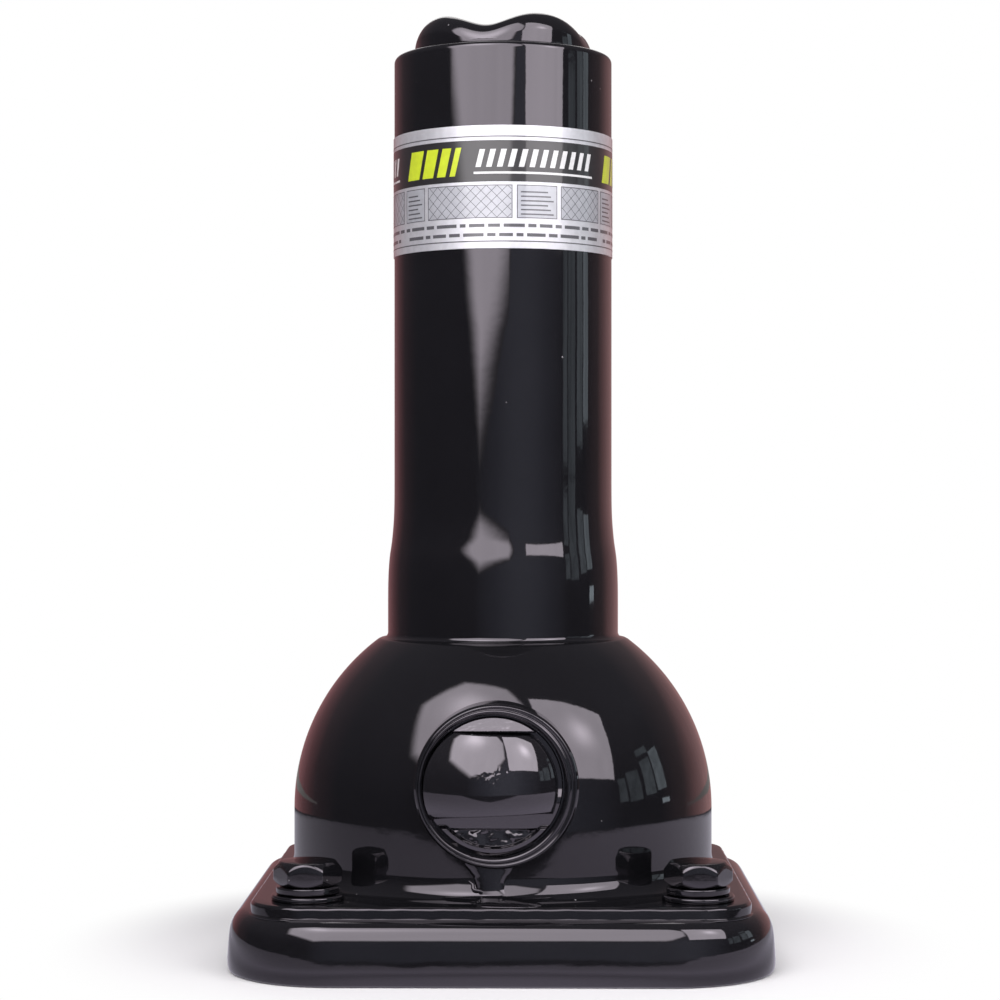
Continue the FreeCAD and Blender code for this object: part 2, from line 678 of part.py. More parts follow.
def plug_boss():
    ring = pinion_revolve([(-BOSS_REACH, PLUG_R), (-BOSS_REACH, BOSS_R), (-BOSS_ROOT, BOSS_R),
                           (-BOSS_ROOT, PLUG_R)])
    return round_rim(ring, -BOSS_REACH, BOSS_R, BOSS_EDGE_R)


def end_plug():
    """Round plug with a groove round its rim and a domed head, cut square above and on a slope below."""
    face = -BOSS_REACH + PLUG_RECESS
    body = pinion_revolve([(face, 0), (face, PLUG_R), (-PLUG_END, PLUG_R), (-PLUG_END, 0)])
    head_r = PLUG_R - PLUG_GROOVE_WIDTH
    groove = pinion_revolve([(face - PAST, head_r), (face - PAST, PLUG_R + PAST),
                             (face + PLUG_GROOVE_DEPTH, PLUG_R + PAST), (face + PLUG_GROOVE_DEPTH, head_r)])
    crest = face - PLUG_RECESS - PLUG_HEAD_PROUD
    rim = face - PLUG_HEAD_EDGE
    crown_rise = rim - crest
    crown_r = (head_r ** 2 + crown_rise ** 2) / (2.0 * crown_rise)
    half_deg = math.degrees(math.asin(head_r / crown_r))
    section = [
        line(on_pinion(face + PLUG_GROOVE_DEPTH, 0), on_pinion(crest, 0)),
        arc_about((crest + crown_r, 0.0), crown_r, 180.0, 180.0 - half_deg, on_pinion),
        line(on_pinion(rim, head_r), on_pinion(face + PLUG_GROOVE_DEPTH, head_r)),
        line(on_pinion(face + PLUG_GROOVE_DEPTH, head_r), on_pinion(face + PLUG_GROOVE_DEPTH, 0)),
    ]
    head = revolve(section, APEX, Y_AXIS)
    inner = face + PLUG_RECESS
    low_edge = -PLUG_LOW_FLAT - PLUG_LOW_DRAFT * (inner - crest) / (face - crest)
    corners = [on_pinion(crest, -PLUG_LOW_FLAT), on_pinion(crest, PLUG_TOP_FLAT),
               on_pinion(inner, PLUG_TOP_FLAT), on_pinion(inner, low_edge)]
    side = Part.Face(Part.makePolygon(corners + corners[:1]))
    side.translate(Vector(-PLUG_R, 0, 0))
    between_flats = side.extrude(Vector(2.0 * PLUG_R, 0, 0))
    return body.cut(groove).fuse(head.common(between_flats)).removeSplitter()


def eye_pin():
    start = Vector(0, EYE_PIN_Y, PINION_Z - EYE_COLLAR_R)
    return Part.makeCylinder(EYE_PIN_R, 2.0 * EYE_COLLAR_R, start)


def drive_eye():
    collar_end = EYE_START + EYE_COLLAR_LENGTH + EYE_END_WALL
    collar = pinion_revolve([(EYE_START, 0), (EYE_START, EYE_COLLAR_R), (collar_end - EYE_EDGE_R, EYE_COLLAR_R),
                             (collar_end, EYE_COLLAR_R - EYE_EDGE_R), (collar_end, 0)])
    ring = Part.makeCylinder(EYE_RING_R, EYE_THICKNESS,
                             Vector(-EYE_THICKNESS / 2.0, EYE_CENTRE, PINION_Z), X_AXIS)
    rims = [edge for edge in ring.Edges if edge.BoundBox.XLength < 1e-4]
    ring = ring.makeFillet(EYE_EDGE_R, rims)
    hole = Part.makeCylinder(EYE_HOLE_R, 2.0 * EYE_THICKNESS,
                             Vector(-EYE_THICKNESS, EYE_CENTRE, PINION_Z), X_AXIS)
    socket = pinion_revolve([(EYE_START - PAST, 0), (EYE_START - PAST, SHAFT_R), (SHAFT_END, SHAFT_R),
                             (SHAFT_END, 0)])
    return collar.fuse(ring).removeSplitter().cut([hole, socket, eye_pin()])


def key_shapes():
    keys = []
    for side in (0.0, 180.0):
        inner_x = SCREW_R - KEY_DEPTH
        key = Part.makeBox(KEY_DEPTH + KEY_REACH, KEY_WIDTH, KEY_HEIGHT,
                           Vector(inner_x, -KEY_WIDTH / 2.0, KEY_BOTTOM))
        key.rotate(ORIGIN, Z_AXIS, side)
        keys.append(key)
    return keys


def drive_keys():
    return Part.makeCompound(key_shapes())


def outer_screw():
    screw = lift_revolve([(SCREW_RELIEF_R, SCREW_BOTTOM), (SCREW_R - NUT_CHAMFER, SCREW_BOTTOM),
                          (SCREW_R, SCREW_BOTTOM + NUT_CHAMFER), (SCREW_R, SCREW_TOP - NUT_CHAMFER),
                          (SCREW_R - NUT_CHAMFER, SCREW_TOP), (SCREW_BORE_R, SCREW_TOP),
                          (SCREW_BORE_R, INNER_NUT_BOTTOM), (SCREW_RELIEF_R, INNER_NUT_BOTTOM)])
    return screw.cut(key_shapes())


def inner_screw():
    groove_r = INNER_SCREW_R - STOP_RING_GROOVE
    ring_low = STOP_RING_TOP - STOP_RING_T
    tenon_top = SADDLE_TOP - SADDLE_GROOVE_DEPTH - TENON_DROP
    return lift_revolve([(0, INNER_BOTTOM), (INNER_SCREW_R - NUT_CHAMFER, INNER_BOTTOM),
                         (INNER_SCREW_R, INNER_BOTTOM + NUT_CHAMFER), (INNER_SCREW_R, ring_low),
                         (groove_r, ring_low), (groove_r, STOP_RING_TOP), (INNER_SCREW_R, STOP_RING_TOP),
                         (INNER_SCREW_R, SADDLE_BOTTOM), (TENON_R, SADDLE_BOTTOM), (TENON_R, tenon_top),
                         (0, tenon_top)])


def stop_ring():
    low = STOP_RING_TOP - STOP_RING_T
    ring = tube(STOP_RING_R, INNER_SCREW_R - STOP_RING_GROOVE, low, STOP_RING_TOP)
    gap = Part.makeBox(2.0 * STOP_RING_R, STOP_RING_SLOT, 3.0 * STOP_RING_T,
                       Vector(0, -STOP_RING_SLOT / 2.0, low - STOP_RING_T))
    return ring.cut(gap)


def saddle():
    """Four-lobed cap: a rounded disc crossed by two hollow grooves."""
    side_top = SADDLE_BOTTOM + SADDLE_SIDE
    crown_mid_r = SADDLE_CROWN_R + (SADDLE_R - SADDLE_CROWN_R) * math.cos(math.pi / 4.0)
    crown_mid_z = side_top + (SADDLE_TOP - side_top) * math.sin(math.pi / 4.0)
    crown_arc = Part.Arc(upright(SADDLE_R, side_top), upright(crown_mid_r, crown_mid_z),
                         upright(SADDLE_CROWN_R, SADDLE_TOP)).toShape()
    foot_r = SADDLE_R - SADDLE_EDGE_R
    section = [
        line(upright(0, SADDLE_BOTTOM), upright(foot_r, SADDLE_BOTTOM)),
        arc_about((foot_r, SADDLE_BOTTOM + SADDLE_EDGE_R), SADDLE_EDGE_R, 270.0, 360.0, upright),
        line(upright(SADDLE_R, SADDLE_BOTTOM + SADDLE_EDGE_R), upright(SADDLE_R, side_top)),
        crown_arc,
        line(upright(SADDLE_CROWN_R, SADDLE_TOP), upright(0, SADDLE_TOP)),
        line(upright(0, SADDLE_TOP), upright(0, SADDLE_BOTTOM)),
    ]
    cap = revolve(section, ORIGIN, Z_AXIS)
    groove_z = SADDLE_TOP - SADDLE_GROOVE_DEPTH + SADDLE_GROOVE_R
    groove = Part.makeCylinder(SADDLE_GROOVE_R, 4.0 * SADDLE_R, Vector(-2.0 * SADDLE_R, 0, groove_z), X_AXIS)
    grooves = around(groove, (SADDLE_TURN, SADDLE_TURN + SADDLE_GROOVE_CROSS))
    return cap.cut(grooves + [tube(TENON_R, 0, SADDLE_BOTTOM - PAST, SADDLE_TOP)])


PIECES = {
    "base_plate": base_plate,
    "gear_housing": gear_housing,
    "column_tube": column_tube,
    "column_nut": column_nut,
    "label_band": label_band,
    "base_bolts": base_bolts,
    "base_nuts": base_nuts,
    "flat_washers": flat_washers,
    "spring_washers": spring_washers,
    "thrust_race_lower": thrust_race_lower,
    "thrust_race_upper": thrust_race_upper,
    "bearing_balls": bearing_balls,
    "bearing_cage": bearing_cage,
    "centre_post": centre_post,
    "crown_gear": crown_gear,
    "sleeve_pins": sleeve_pins,
    "drive_sleeve": drive_sleeve,
    "bevel_pinion": bevel_pinion,
    "thrust_washer": thrust_washer,
    "pinion_bush": pinion_bush,
    "pinion_boss": pinion_boss,
    "plug_boss": plug_boss,
    "end_plug": end_plug,
    "drive_eye": drive_eye,
    "eye_pin": eye_pin,
    "outer_screw": outer_screw,
    "drive_keys": drive_keys,
    "inner_screw": inner_screw,
    "stop_ring": stop_ring,
    "saddle": saddle,
}


def main():
    os.makedirs("parts", exist_ok=True)
    for name, make in PIECES.items():
        make().exportStep(os.path.join("parts", name + ".step"))


main()
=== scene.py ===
import cmath
import math

import bmesh
import bpy
import numpy as np
from mathutils import Matrix, Vector, noise

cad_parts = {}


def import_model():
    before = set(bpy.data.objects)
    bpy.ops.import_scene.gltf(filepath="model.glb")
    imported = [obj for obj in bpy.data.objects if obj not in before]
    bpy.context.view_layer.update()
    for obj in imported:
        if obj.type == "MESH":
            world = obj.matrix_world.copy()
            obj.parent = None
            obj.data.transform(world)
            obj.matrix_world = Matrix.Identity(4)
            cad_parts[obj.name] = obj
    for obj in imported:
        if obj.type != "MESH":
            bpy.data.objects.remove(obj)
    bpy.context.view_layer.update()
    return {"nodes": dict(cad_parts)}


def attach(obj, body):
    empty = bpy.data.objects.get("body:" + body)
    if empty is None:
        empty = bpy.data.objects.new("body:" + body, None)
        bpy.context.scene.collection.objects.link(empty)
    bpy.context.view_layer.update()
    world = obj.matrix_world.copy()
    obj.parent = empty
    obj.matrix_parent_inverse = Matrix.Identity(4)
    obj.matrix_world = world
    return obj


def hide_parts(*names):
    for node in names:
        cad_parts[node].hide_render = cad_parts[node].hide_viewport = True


# Dressed screw jack. Lengths are in millimetres in the frame of the solids and
# become metres when a mesh is made. The pieces come first, then the studio.
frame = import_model()
SCENE = bpy.context.scene
MM = 0.001

# Sizes shared with the solids
PINION_Z = 41.3
TUBE_R = 25.4
TUBE_BORE = 22.4
TUBE_TOP = 206.17
BELL_R = 26.9
BELL_BORE = 23.9
SEAT_Z = 70.77
NECK_BORE = 21.4
NECK_TOP = 83.7
DOME_R = 48.7
DOME_Z = 31.5
SHELL_R = 46.2
SHELL_TOP = 66.3
TOE = 5.2
FLANGE_HALF = 54.5
FLANGE_CORNER = 12.0
FLANGE_LOW = 13.5
FLANGE_TOP = 16.0
BASE_HALF = 60.4
BASE_HEIGHT = 13.5
BASE_CORNER = 24.0
WELL_R = 32.8
WELL_OUT = 37.3
WELL_FLOOR = 4.5
BOSS_FACE = 50.5
BOSS_BACK = 37.0
BOSS_R = 17.8
PLUG_R = 15.4
PLUG_BACK = 40.1
BOLT_HALF = 42.5
BOLT_R = 4.0
HEX_FLAT = 6.5
WASHER_TOP = 17.2
LABEL_R = 25.6
LABEL_LOW = 159.37
LABEL_HIGH = 187.07
SADDLE_LOW = 206.47
SADDLE_TOP = 214.77
SADDLE_R = 20.6
OUTER_R = 17.0
OUTER_BORE = 12.5
INNER_R = 11.0
LEAD = 6.0


# Shader helper

class Tree:
    """Nodes of a material or a world, with short ways to add more."""

    def __init__(self, owner, empty=False):
        owner.use_nodes = True
        self.data = owner.node_tree
        if empty:
            self.data.nodes.clear()

    def wire(self, made, inputs):
        """Link or set each named or numbered input of a node."""
        for key, value in inputs.items():
            socket = made.inputs[key]
            if isinstance(value, bpy.types.NodeSocket):
                self.data.links.new(value, socket)
            elif socket.type == "RGBA":
                socket.default_value = (*value, 1.0)
            else:
                socket.default_value = value
        return made

    def add(self, kind, inputs=(), **settings):
        made = self.data.nodes.new("ShaderNode" + kind)
        for key, value in settings.items():
            setattr(made, key, value)
        return self.wire(made, dict(inputs))

    def math(self, operation, *values, clamp=False):
        return self.add("Math", enumerate(values), operation=operation, use_clamp=clamp).outputs[0]

    def line(self, value, slope, offset):
        return self.math("MULTIPLY_ADD", value, slope, offset)

    def vector(self, operation, *values):
        made = self.add("VectorMath", enumerate(values), operation=operation)
        return made.outputs["Value" if operation in ("LENGTH", "DOT_PRODUCT") else "Vector"]

    def coords(self):
        return self.add("TexCoord").outputs["Object"]

    def noise(self, coords, scale, detail=2.0, roughness=0.5):
        inputs = {"Vector": coords, "Scale": scale, "Detail": detail, "Roughness": roughness}
        return self.add("TexNoise", inputs).outputs[0]

    def stretched(self, coords, scale):
        return self.add("Mapping", {"Vector": coords, "Scale": scale}).outputs[0]

    def bump(self, height, distance, **normal):
        return self.add("Bump", {"Distance": distance, "Height": height, **normal}).outputs[0]

    def ramp(self, value, stops):
        made = self.add("ValToRGB", {"Fac": value})
        elements = made.color_ramp.elements
        while len(elements) < len(stops):
            elements.new(0.5)
        for element, (place, colour) in zip(elements, stops):
            element.position = place
            element.color = (*colour, 1.0)
        return made.outputs["Color"]

    def mix(self, factor, first, second, blend="MIX"):
        inputs = {0: factor, 6: first, 7: second}
        return self.add("Mix", inputs, data_type="RGBA", blend_type=blend).outputs[2]

    def soft_step(self, value, zero_at, one_at):
        inputs = {"Value": value, "From Min": zero_at, "From Max": one_at}
        return self.add("MapRange", inputs, interpolation_type="SMOOTHSTEP").outputs["Result"]

    def specks(self, coords, scale, share, size):
        """Sparse round specks: one in some cells only, of a size given in cell widths."""
        cells = self.add("TexVoronoi", {"Vector": coords, "Scale": scale}).outputs
        split = self.add("SeparateColor", {0: cells["Color"]})
        chosen = self.math("LESS_THAN", split.outputs[0], share)
        near = self.math("SUBTRACT", 1.0, self.math("DIVIDE", cells["Distance"], size), clamp=True)
        return self.math("MULTIPLY", chosen, near)

    def seen_directly(self):
        """1 for camera, glossy and transmission rays, 0 for the rest."""
        path = self.add("LightPath").outputs
        other = self.math("MAXIMUM", path["Is Glossy Ray"], path["Is Transmission Ray"])
        return self.math("MAXIMUM", path["Is Camera Ray"], other)

    def finish_mixed(self, kind, factor, first, second):
        """Output of one shader that gives way to another."""
        mixed = self.add("MixShader", {0: factor, 1: first.outputs[0], 2: second.outputs[0]})
        self.add(kind, {"Surface": mixed.outputs[0]})


# Materials

PAINT_BLACK = (0.0042, 0.0042, 0.0050)
PAINT_TINT = (0.985, 0.915, 1.0)
DUST = (0.42, 0.41, 0.42)


def new_material(name):
    material = bpy.data.materials.new(name)
    tree = Tree(material)
    return material, tree, tree.data.nodes["Principled BSDF"]


def scaled(colour, share):
    return tuple(share * part for part in colour)


def enamel(name, wave=0.000080, peel=0.0000060, gloss=0.030, ior=1.5):
    """Gloss black paint: long waves, fine orange peel, dust nibs and faint handling haze."""
    material, tree, shader = new_material(name)
    coords = tree.coords()
    haze = tree.noise(coords, 38.0, 4.0, 0.62)
    nibs = tree.specks(coords, 150.0, 0.42, 0.042)
    lint = tree.specks(tree.stretched(coords, (1.0, 1.0, 0.16)), 120.0, 0.05, 0.030)
    specks = tree.math("MAXIMUM", nibs, lint)
    shade = tree.ramp(haze, ((0.30, PAINT_BLACK), (0.75, scaled(PAINT_BLACK, 1.5))))
    smear = tree.noise(tree.stretched(coords, (1.0, 1.0, 0.4)), 70.0, 5.0, 0.7)
    waves = tree.bump(tree.noise(coords, 55.0, 1.0), wave)
    fine = tree.bump(tree.noise(coords, 420.0), peel, Normal=waves)
    tree.wire(shader, {
        "Base Color": tree.mix(tree.math("MULTIPLY", specks, 0.9), shade, DUST),
        "Roughness": tree.line(tree.math("POWER", smear, 3.0), 0.10, gloss),
        "IOR": ior, "Specular IOR Level": 1.0, "Specular Tint": PAINT_TINT,
        "Normal": tree.bump(specks, 0.00008, Normal=fine)})
    return material


def steel(name, colour, low_rough, high_rough, grain):
    """Machined metal with turning marks, uneven sheen and thin oil."""
    material, tree, shader = new_material(name)
    coords = tree.coords()
    marks = tree.noise(tree.stretched(coords, grain), 900.0, 3.0, 0.7)
    stains = tree.noise(coords, 60.0, 4.0, 0.6)
    tree.wire(shader, {
        "Metallic": 1.0, "Coat Weight": 0.25, "Coat Roughness": 0.18,
        "Base Color": tree.ramp(stains, ((0.32, scaled(colour, 0.62)), (0.62, colour))),
        "Roughness": tree.line(marks, high_rough - low_rough, low_rough),
        "Normal": tree.bump(marks, 0.000015)})
    return material


def film(name, colour, rough=0.35, metal=0.0):
    """Printed film under a clear varnish, with faint ink mottle and rubbed patches."""
    material, tree, shader = new_material(name)
    coords = tree.coords()
    mottle = tree.noise(coords, 600.0, 3.0, 0.6)
    smear = tree.noise(coords, 80.0, 4.0, 0.65)
    tree.wire(shader, {
        "Metallic": metal, "Coat Weight": 1.0, "Coat Roughness": 0.06,
        "Base Color": tree.ramp(mottle, ((0.35, scaled(colour, 0.90)), (0.65, colour))),
        "Roughness": tree.line(smear, 0.10, rough),
        "Normal": tree.bump(tree.noise(coords, 120.0), 0.00001)})
    return material


ENAMEL = enamel("black_enamel")
HOUSING_ENAMEL = enamel("housing_enamel", ior=1.45)
PLUG_ENAMEL = enamel("plug_enamel", gloss=0.026, ior=1.61)
FORGED_ENAMEL = enamel("saddle_enamel", 0.00016, 0.0000090, 0.04)
FASTENER_ENAMEL = enamel("fastener_enamel", 0.00010, 0.0000100, 0.05)
SCREW_STEEL = steel("screw_steel", (0.46, 0.46, 0.46), 0.18, 0.38, (1.0, 1.0, 0.25))
GEAR_STEEL = steel("gear_steel", (0.32, 0.32, 0.33), 0.26, 0.46, (1.0, 1.0, 1.0))
BEARING_STEEL = steel("bearing_steel", (0.62, 0.62, 0.63), 0.08, 0.20, (0.3, 0.3, 1.0))
BRONZE = steel("bronze", (0.58, 0.38, 0.17), 0.20, 0.40, (1.0, 0.3, 1.0))
FILM_SILVER = film("label_silver", (0.83, 0.83, 0.87), 0.42, 0.60)
FILM_BLACK = film("label_black", (0.022, 0.020, 0.022), 0.30)
FILM_LIME = film("label_lime", (0.62, 0.74, 0.025))
FILM_WHITE = film("label_white", (0.80, 0.80, 0.80))
FILM_GREY = film("label_grey", (0.10, 0.098, 0.11))
FILM_MID = film("label_mid", (0.52, 0.53, 0.57), 0.40, 0.3)


# Mesh helpers

def new_mesh(name, points, faces, material):
    mesh = bpy.data.meshes.new(name)
    mesh.from_pydata([tuple(part * MM for part in point) for point in points], [], faces)
    mesh.materials.append(material)
    return mesh


def new_object(data):
    made = bpy.data.objects.new(data.name, data)
    SCENE.collection.objects.link(made)
    return made


def place_piece(mesh, body):
    piece = new_object(mesh)
    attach(piece, body)
    return piece


def add_piece(name, points, faces, material, body, slot, nodes=()):
    """A mesh that rides on a body, with its normals turned outwards and smooth shading."""
    mesh = new_mesh(name, points, faces, material)
    work = bmesh.new()
    work.from_mesh(mesh)
    bmesh.ops.remove_doubles(work, verts=work.verts, dist=1e-7)
    bmesh.ops.dissolve_degenerate(work, edges=work.edges, dist=1e-8)
    bmesh.ops.recalc_face_normals(work, faces=work.faces)
    work.to_mesh(mesh)
    work.free()
    mesh.shade_smooth()
    piece = place_piece(mesh, body)
    if nodes:
        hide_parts(*nodes)


def painted(name, points, faces, nodes=(), material=ENAMEL):
    """A black piece of the housing."""
    add_piece(name, points, faces, material, "housing", "black_enamel", nodes)


def skin(rings, closed=False):
    """Quads over rings that all have the same number of points."""
    count = len(rings[0])
    points = [point for ring in rings for point in ring]
    faces = []
    for row in range(len(rings) - (not closed)):
        low = row * count
        high = (row + 1) % len(rings) * count
        for step in range(count):
            after = (step + 1) % count
            faces.append((low + step, low + after, high + after, high + step))
    return points, faces


def capped(rings):
    """Open rings with a point in the middle of each end."""
    first, last = ([tuple(np.mean(ring, axis=0))] * len(ring) for ring in (rings[0], rings[-1]))
    return [first, *rings, last]


def turns(count):
    return [2.0 * math.pi * step / count for step in range(count)]


def polar(radius, angle, z):
    return (radius * math.cos(angle), radius * math.sin(angle), z)


def arc(a, b, radius, start, end, steps):
    """Points of a section's arc about (a, b), between two angles in degrees."""
    angles = [math.radians(start + (end - start) * step / steps) for step in range(steps + 1)]
    return [(a + radius * math.cos(angle), b + radius * math.sin(angle)) for angle in angles]


def rounded_path(corners, closed=False, steps=7, guard=0.12, span=4.0):
    """Section path through (a, b, radius) corners, with arcs at the corners.

    Straight runs get a point close to each end, so that shading stays flat there.
    """
    count = len(corners)
    spots = [complex(a, b) for a, b, _ in corners]
    bends = []
    for index, here in enumerate(spots):
        radius = corners[index][2]
        if radius <= 0 or (not closed and index in (0, count - 1)):
            bends.append([here])
            continue
        before = spots[index - 1] - here
        after = spots[(index + 1) % count] - here
        before /= abs(before)
        after /= abs(after)
        half = abs(cmath.phase(after / before)) / 2.0
        centre = here + (before + after) / abs(before + after) * radius / math.sin(half)
        start, end = (here + side * radius / math.tan(half) - centre for side in (before, after))
        turn = math.copysign(math.pi - 2.0 * half, (end / start).imag)
        bends.append([centre + start * cmath.rect(1.0, turn * step / steps) for step in range(steps + 1)])
    path = []
    for index in range(count):
        path.extend(bends[index])
        if index == count - 1 and not closed:
            break
        start = bends[index][-1]
        way = bends[(index + 1) % count][0] - start
        run = abs(way)
        if run < 4.0 * guard:
            continue
        parts = max(1, int(run / span))
        shares = [guard / run] + [part / parts for part in range(1, parts)] + [1.0 - guard / run]
        path.extend(start + way * share for share in shares)
    return [(spot.real, spot.imag) for spot in path]


def lift_rings(path, count):
    """Rings of a section of (radius, height) turned about the lift axis."""
    return [[polar(r, t, z) for t in turns(count)] for r, z in path]


def cross_rings(path, count):
    """Rings of a section of (radius, y) turned about the pinion's axis."""
    return [[(r * math.cos(t), y, PINION_Z + r * math.sin(t)) for t in turns(count)] for r, y in path]


def square_points(half, corner, side_count=64, arc_count=24):
    """Rounded square, with as many points on each side and corner whatever its size."""
    straight = half - corner
    local = [(half, -straight + 2.0 * straight * step / side_count) for step in range(side_count)]
    local.extend(arc(straight, straight, corner, 0.0, 90.0, arc_count)[:-1])
    points = []
    for quarter in range(4):
        cos, sin = math.cos(quarter * math.pi / 2.0), math.sin(quarter * math.pi / 2.0)
        points.extend((x * cos - y * sin, x * sin + y * cos) for x, y in local)
    return points


SQUARE_ANGLES = [math.atan2(y, x) for x, y in square_points(FLANGE_HALF, FLANGE_CORNER)]


def square_ring(half, corner, z):
    return [(x, y, z) for x, y in square_points(half, corner)]


def round_rings(path):
    """Circles whose points lie on the same rays as those of the rounded squares."""
    return [[polar(radius, t, z) for t in SQUARE_ANGLES] for radius, z in path]


def smooth(low, high, value):
    share = max(0.0, min(1.0, (value - low) / (high - low)))
    return share * share * (3.0 - 2.0 * share)


def soft_min(a, b, ease):
    share = max(0.0, min(1.0, 0.5 + 0.5 * (b - a) / ease))
    return b + (a - b) * share - ease * share * (1.0 - share)


def waver(x, y, z, scale, seed):
    return noise.noise(Vector((x * scale + seed, y * scale - seed, z * scale + 2.0 * seed)))


# Column tube

# Height, and slope of the wall there before scaling
BELL_SLOPES = ((79.0, 0.0), (82.0, 0.012), (85.6, 0.050), (88.0, 0.090), (89.2, 0.114), (90.1, 0.162),
               (91.3, 0.176), (92.5, 0.162), (93.4, 0.116), (96.6, 0.086), (100.4, 0.026), (104.0, 0.006),
               (108.0, 0.0))
FOOT_FILLET = 1.3
RIM_HEIGHT = 3.0


def bell_profile(low, high, step):
    """Outside of the tube from the foot up: it swells in one soft S towards the foot."""
    heights = np.arange(low, high, step)
    slopes = np.interp(heights, *zip(*BELL_SLOPES))
    width = 3
    soft = np.convolve(np.pad(slopes, width // 2, mode="edge"), np.ones(width) / width, mode="valid")
    growth = np.cumsum(soft[::-1])[::-1] * step
    growth *= (BELL_R - TUBE_R) / growth[0]
    return [(TUBE_R + grown, z) for z, grown in zip(heights, growth)]


def column_tube():
    foot = SEAT_Z + 0.02
    rim_low = TUBE_TOP - RIM_HEIGHT
    outside = arc(BELL_R + FOOT_FILLET, foot + FOOT_FILLET, FOOT_FILLET, 270.0, 180.0, 12)
    outside.extend(bell_profile(foot + FOOT_FILLET + 0.3, rim_low, 0.6))
    rim = rounded_path([(TUBE_R, rim_low, 0.0), (TUBE_R, TUBE_TOP, 1.4), (TUBE_BORE, TUBE_TOP, 0.5),
                        (TUBE_BORE, 102.0, 0.0), (BELL_BORE, 83.8, 0.0), (BELL_BORE, foot, 0.0)], steps=9)
    painted("column_tube_skin", *skin(lift_rings(outside + rim, 256), closed=True), ["column_tube"])


# Gear housing

NECK_R = 23.88
SEAT_R = 28.6
FLANGE_EDGE = 0.7
FLANGE_FOOT = 0.3
FLANGE_UNDER = 12.9
BOSS_HOLE_R = 16.4
BOSS_HOLE_FROM = 25.0


def flange_side():
    """Rings of the flange's uneven painted edge, from its top to its foot."""
    profile = arc(-FLANGE_EDGE, FLANGE_TOP - FLANGE_EDGE, FLANGE_EDGE, 90.0, 4.0, 12)
    profile.extend(arc(0.02 + FLANGE_FOOT, FLANGE_LOW + FLANGE_FOOT - 0.03, FLANGE_FOOT, 184.0, 264.0, 12))
    profile.append((FLANGE_FOOT + 0.15, FLANGE_LOW - 0.6))
    rings = []
    for index, (out, z) in enumerate(profile):
        ease = smooth(0.0, 6.0, index) * smooth(len(profile) - 1.0, len(profile) - 7.0, index)
        rings.append([(x, y, level - ease * (0.12 + 0.16 * waver(x, y, level, 0.31, 6.0)))
                      for x, y, level in square_ring(FLANGE_HALF + out, FLANGE_CORNER + out, z)])
    return rings


def gear_housing():
    rings = round_rings(rounded_path([(NECK_BORE, SHELL_TOP, 0.0), (NECK_BORE, NECK_TOP, 0.4),
                                      (NECK_R, NECK_TOP, 0.4), (NECK_R, SEAT_Z, 0.0), (SEAT_R, SEAT_Z, 0.0)],
                                     steps=4))
    seat_angle = math.degrees(math.acos((SEAT_R + 0.2) / DOME_R))
    rings.extend(round_rings(arc(0.0, DOME_Z, DOME_R, seat_angle, 0.0, 90)[1:]))
    toe_z = FLANGE_TOP + TOE
    rings.extend(round_rings((DOME_R, DOME_Z + (toe_z - DOME_Z) * share) for share in (0.03, 0.25, 0.5, 0.75, 0.97)))
    rings.extend(round_rings(arc(DOME_R + TOE, toe_z, TOE, 180.0, 270.0, 16)))
    toe = np.array(rings[-1])
    rim = np.array(square_ring(FLANGE_HALF - FLANGE_EDGE, FLANGE_CORNER - FLANGE_EDGE, FLANGE_TOP))
    rings.extend((toe + (rim - toe) * part / 6.0).tolist() for part in range(1, 6))
    rings.extend(flange_side())
    rings.append(square_ring(50.0, 10.0, FLANGE_UNDER))
    rings.extend(round_rings([(SHELL_R, FLANGE_UNDER), (SHELL_R, FLANGE_LOW), (SHELL_R, DOME_Z)]))
    ceiling = math.degrees(math.asin((SHELL_TOP - DOME_Z) / SHELL_R))
    rings.extend(round_rings(arc(0.0, DOME_Z, SHELL_R, 0.0, ceiling, 40)[1:]))
    points, faces = skin(rings, closed=True)

    def in_boss_hole(face):
        x, y, z = (sum(points[index][axis] for index in face) / 4.0 for axis in range(3))
        return abs(y) > BOSS_HOLE_FROM and math.hypot(x, z - PINION_Z) < BOSS_HOLE_R

    kept = [face for face in faces if not in_boss_hole(face)]
    painted("gear_housing_skin", points, kept, ["gear_housing"], HOUSING_ENAMEL)


# Base pan

# Height, and lean of the outer wall there in degrees from upright
PAN_LEANS = ((0.0, -50.0), (0.4, -25.0), (0.9, -9.0), (1.9, -1.6), (2.9, 2.2), (4.0, 3.9), (6.6, 4.6), (8.2, 7.5),
             (9.3, 11.5), (10.4, 20.0), (11.4, 30.0), (12.3, 43.0), (13.0, 60.0), (13.4, 78.0), (13.5, 82.0))
# Inset and height of the points of the wall's foot
PAN_FOOT = ((4.2, 0.0), (1.3, 0.0), (0.95, 0.03))
PAN_CEILING = 9.0
PAN_INNER = BASE_HALF - 4.5
PAN_DRAFT = 0.035
WELL_ROUND = 2.0


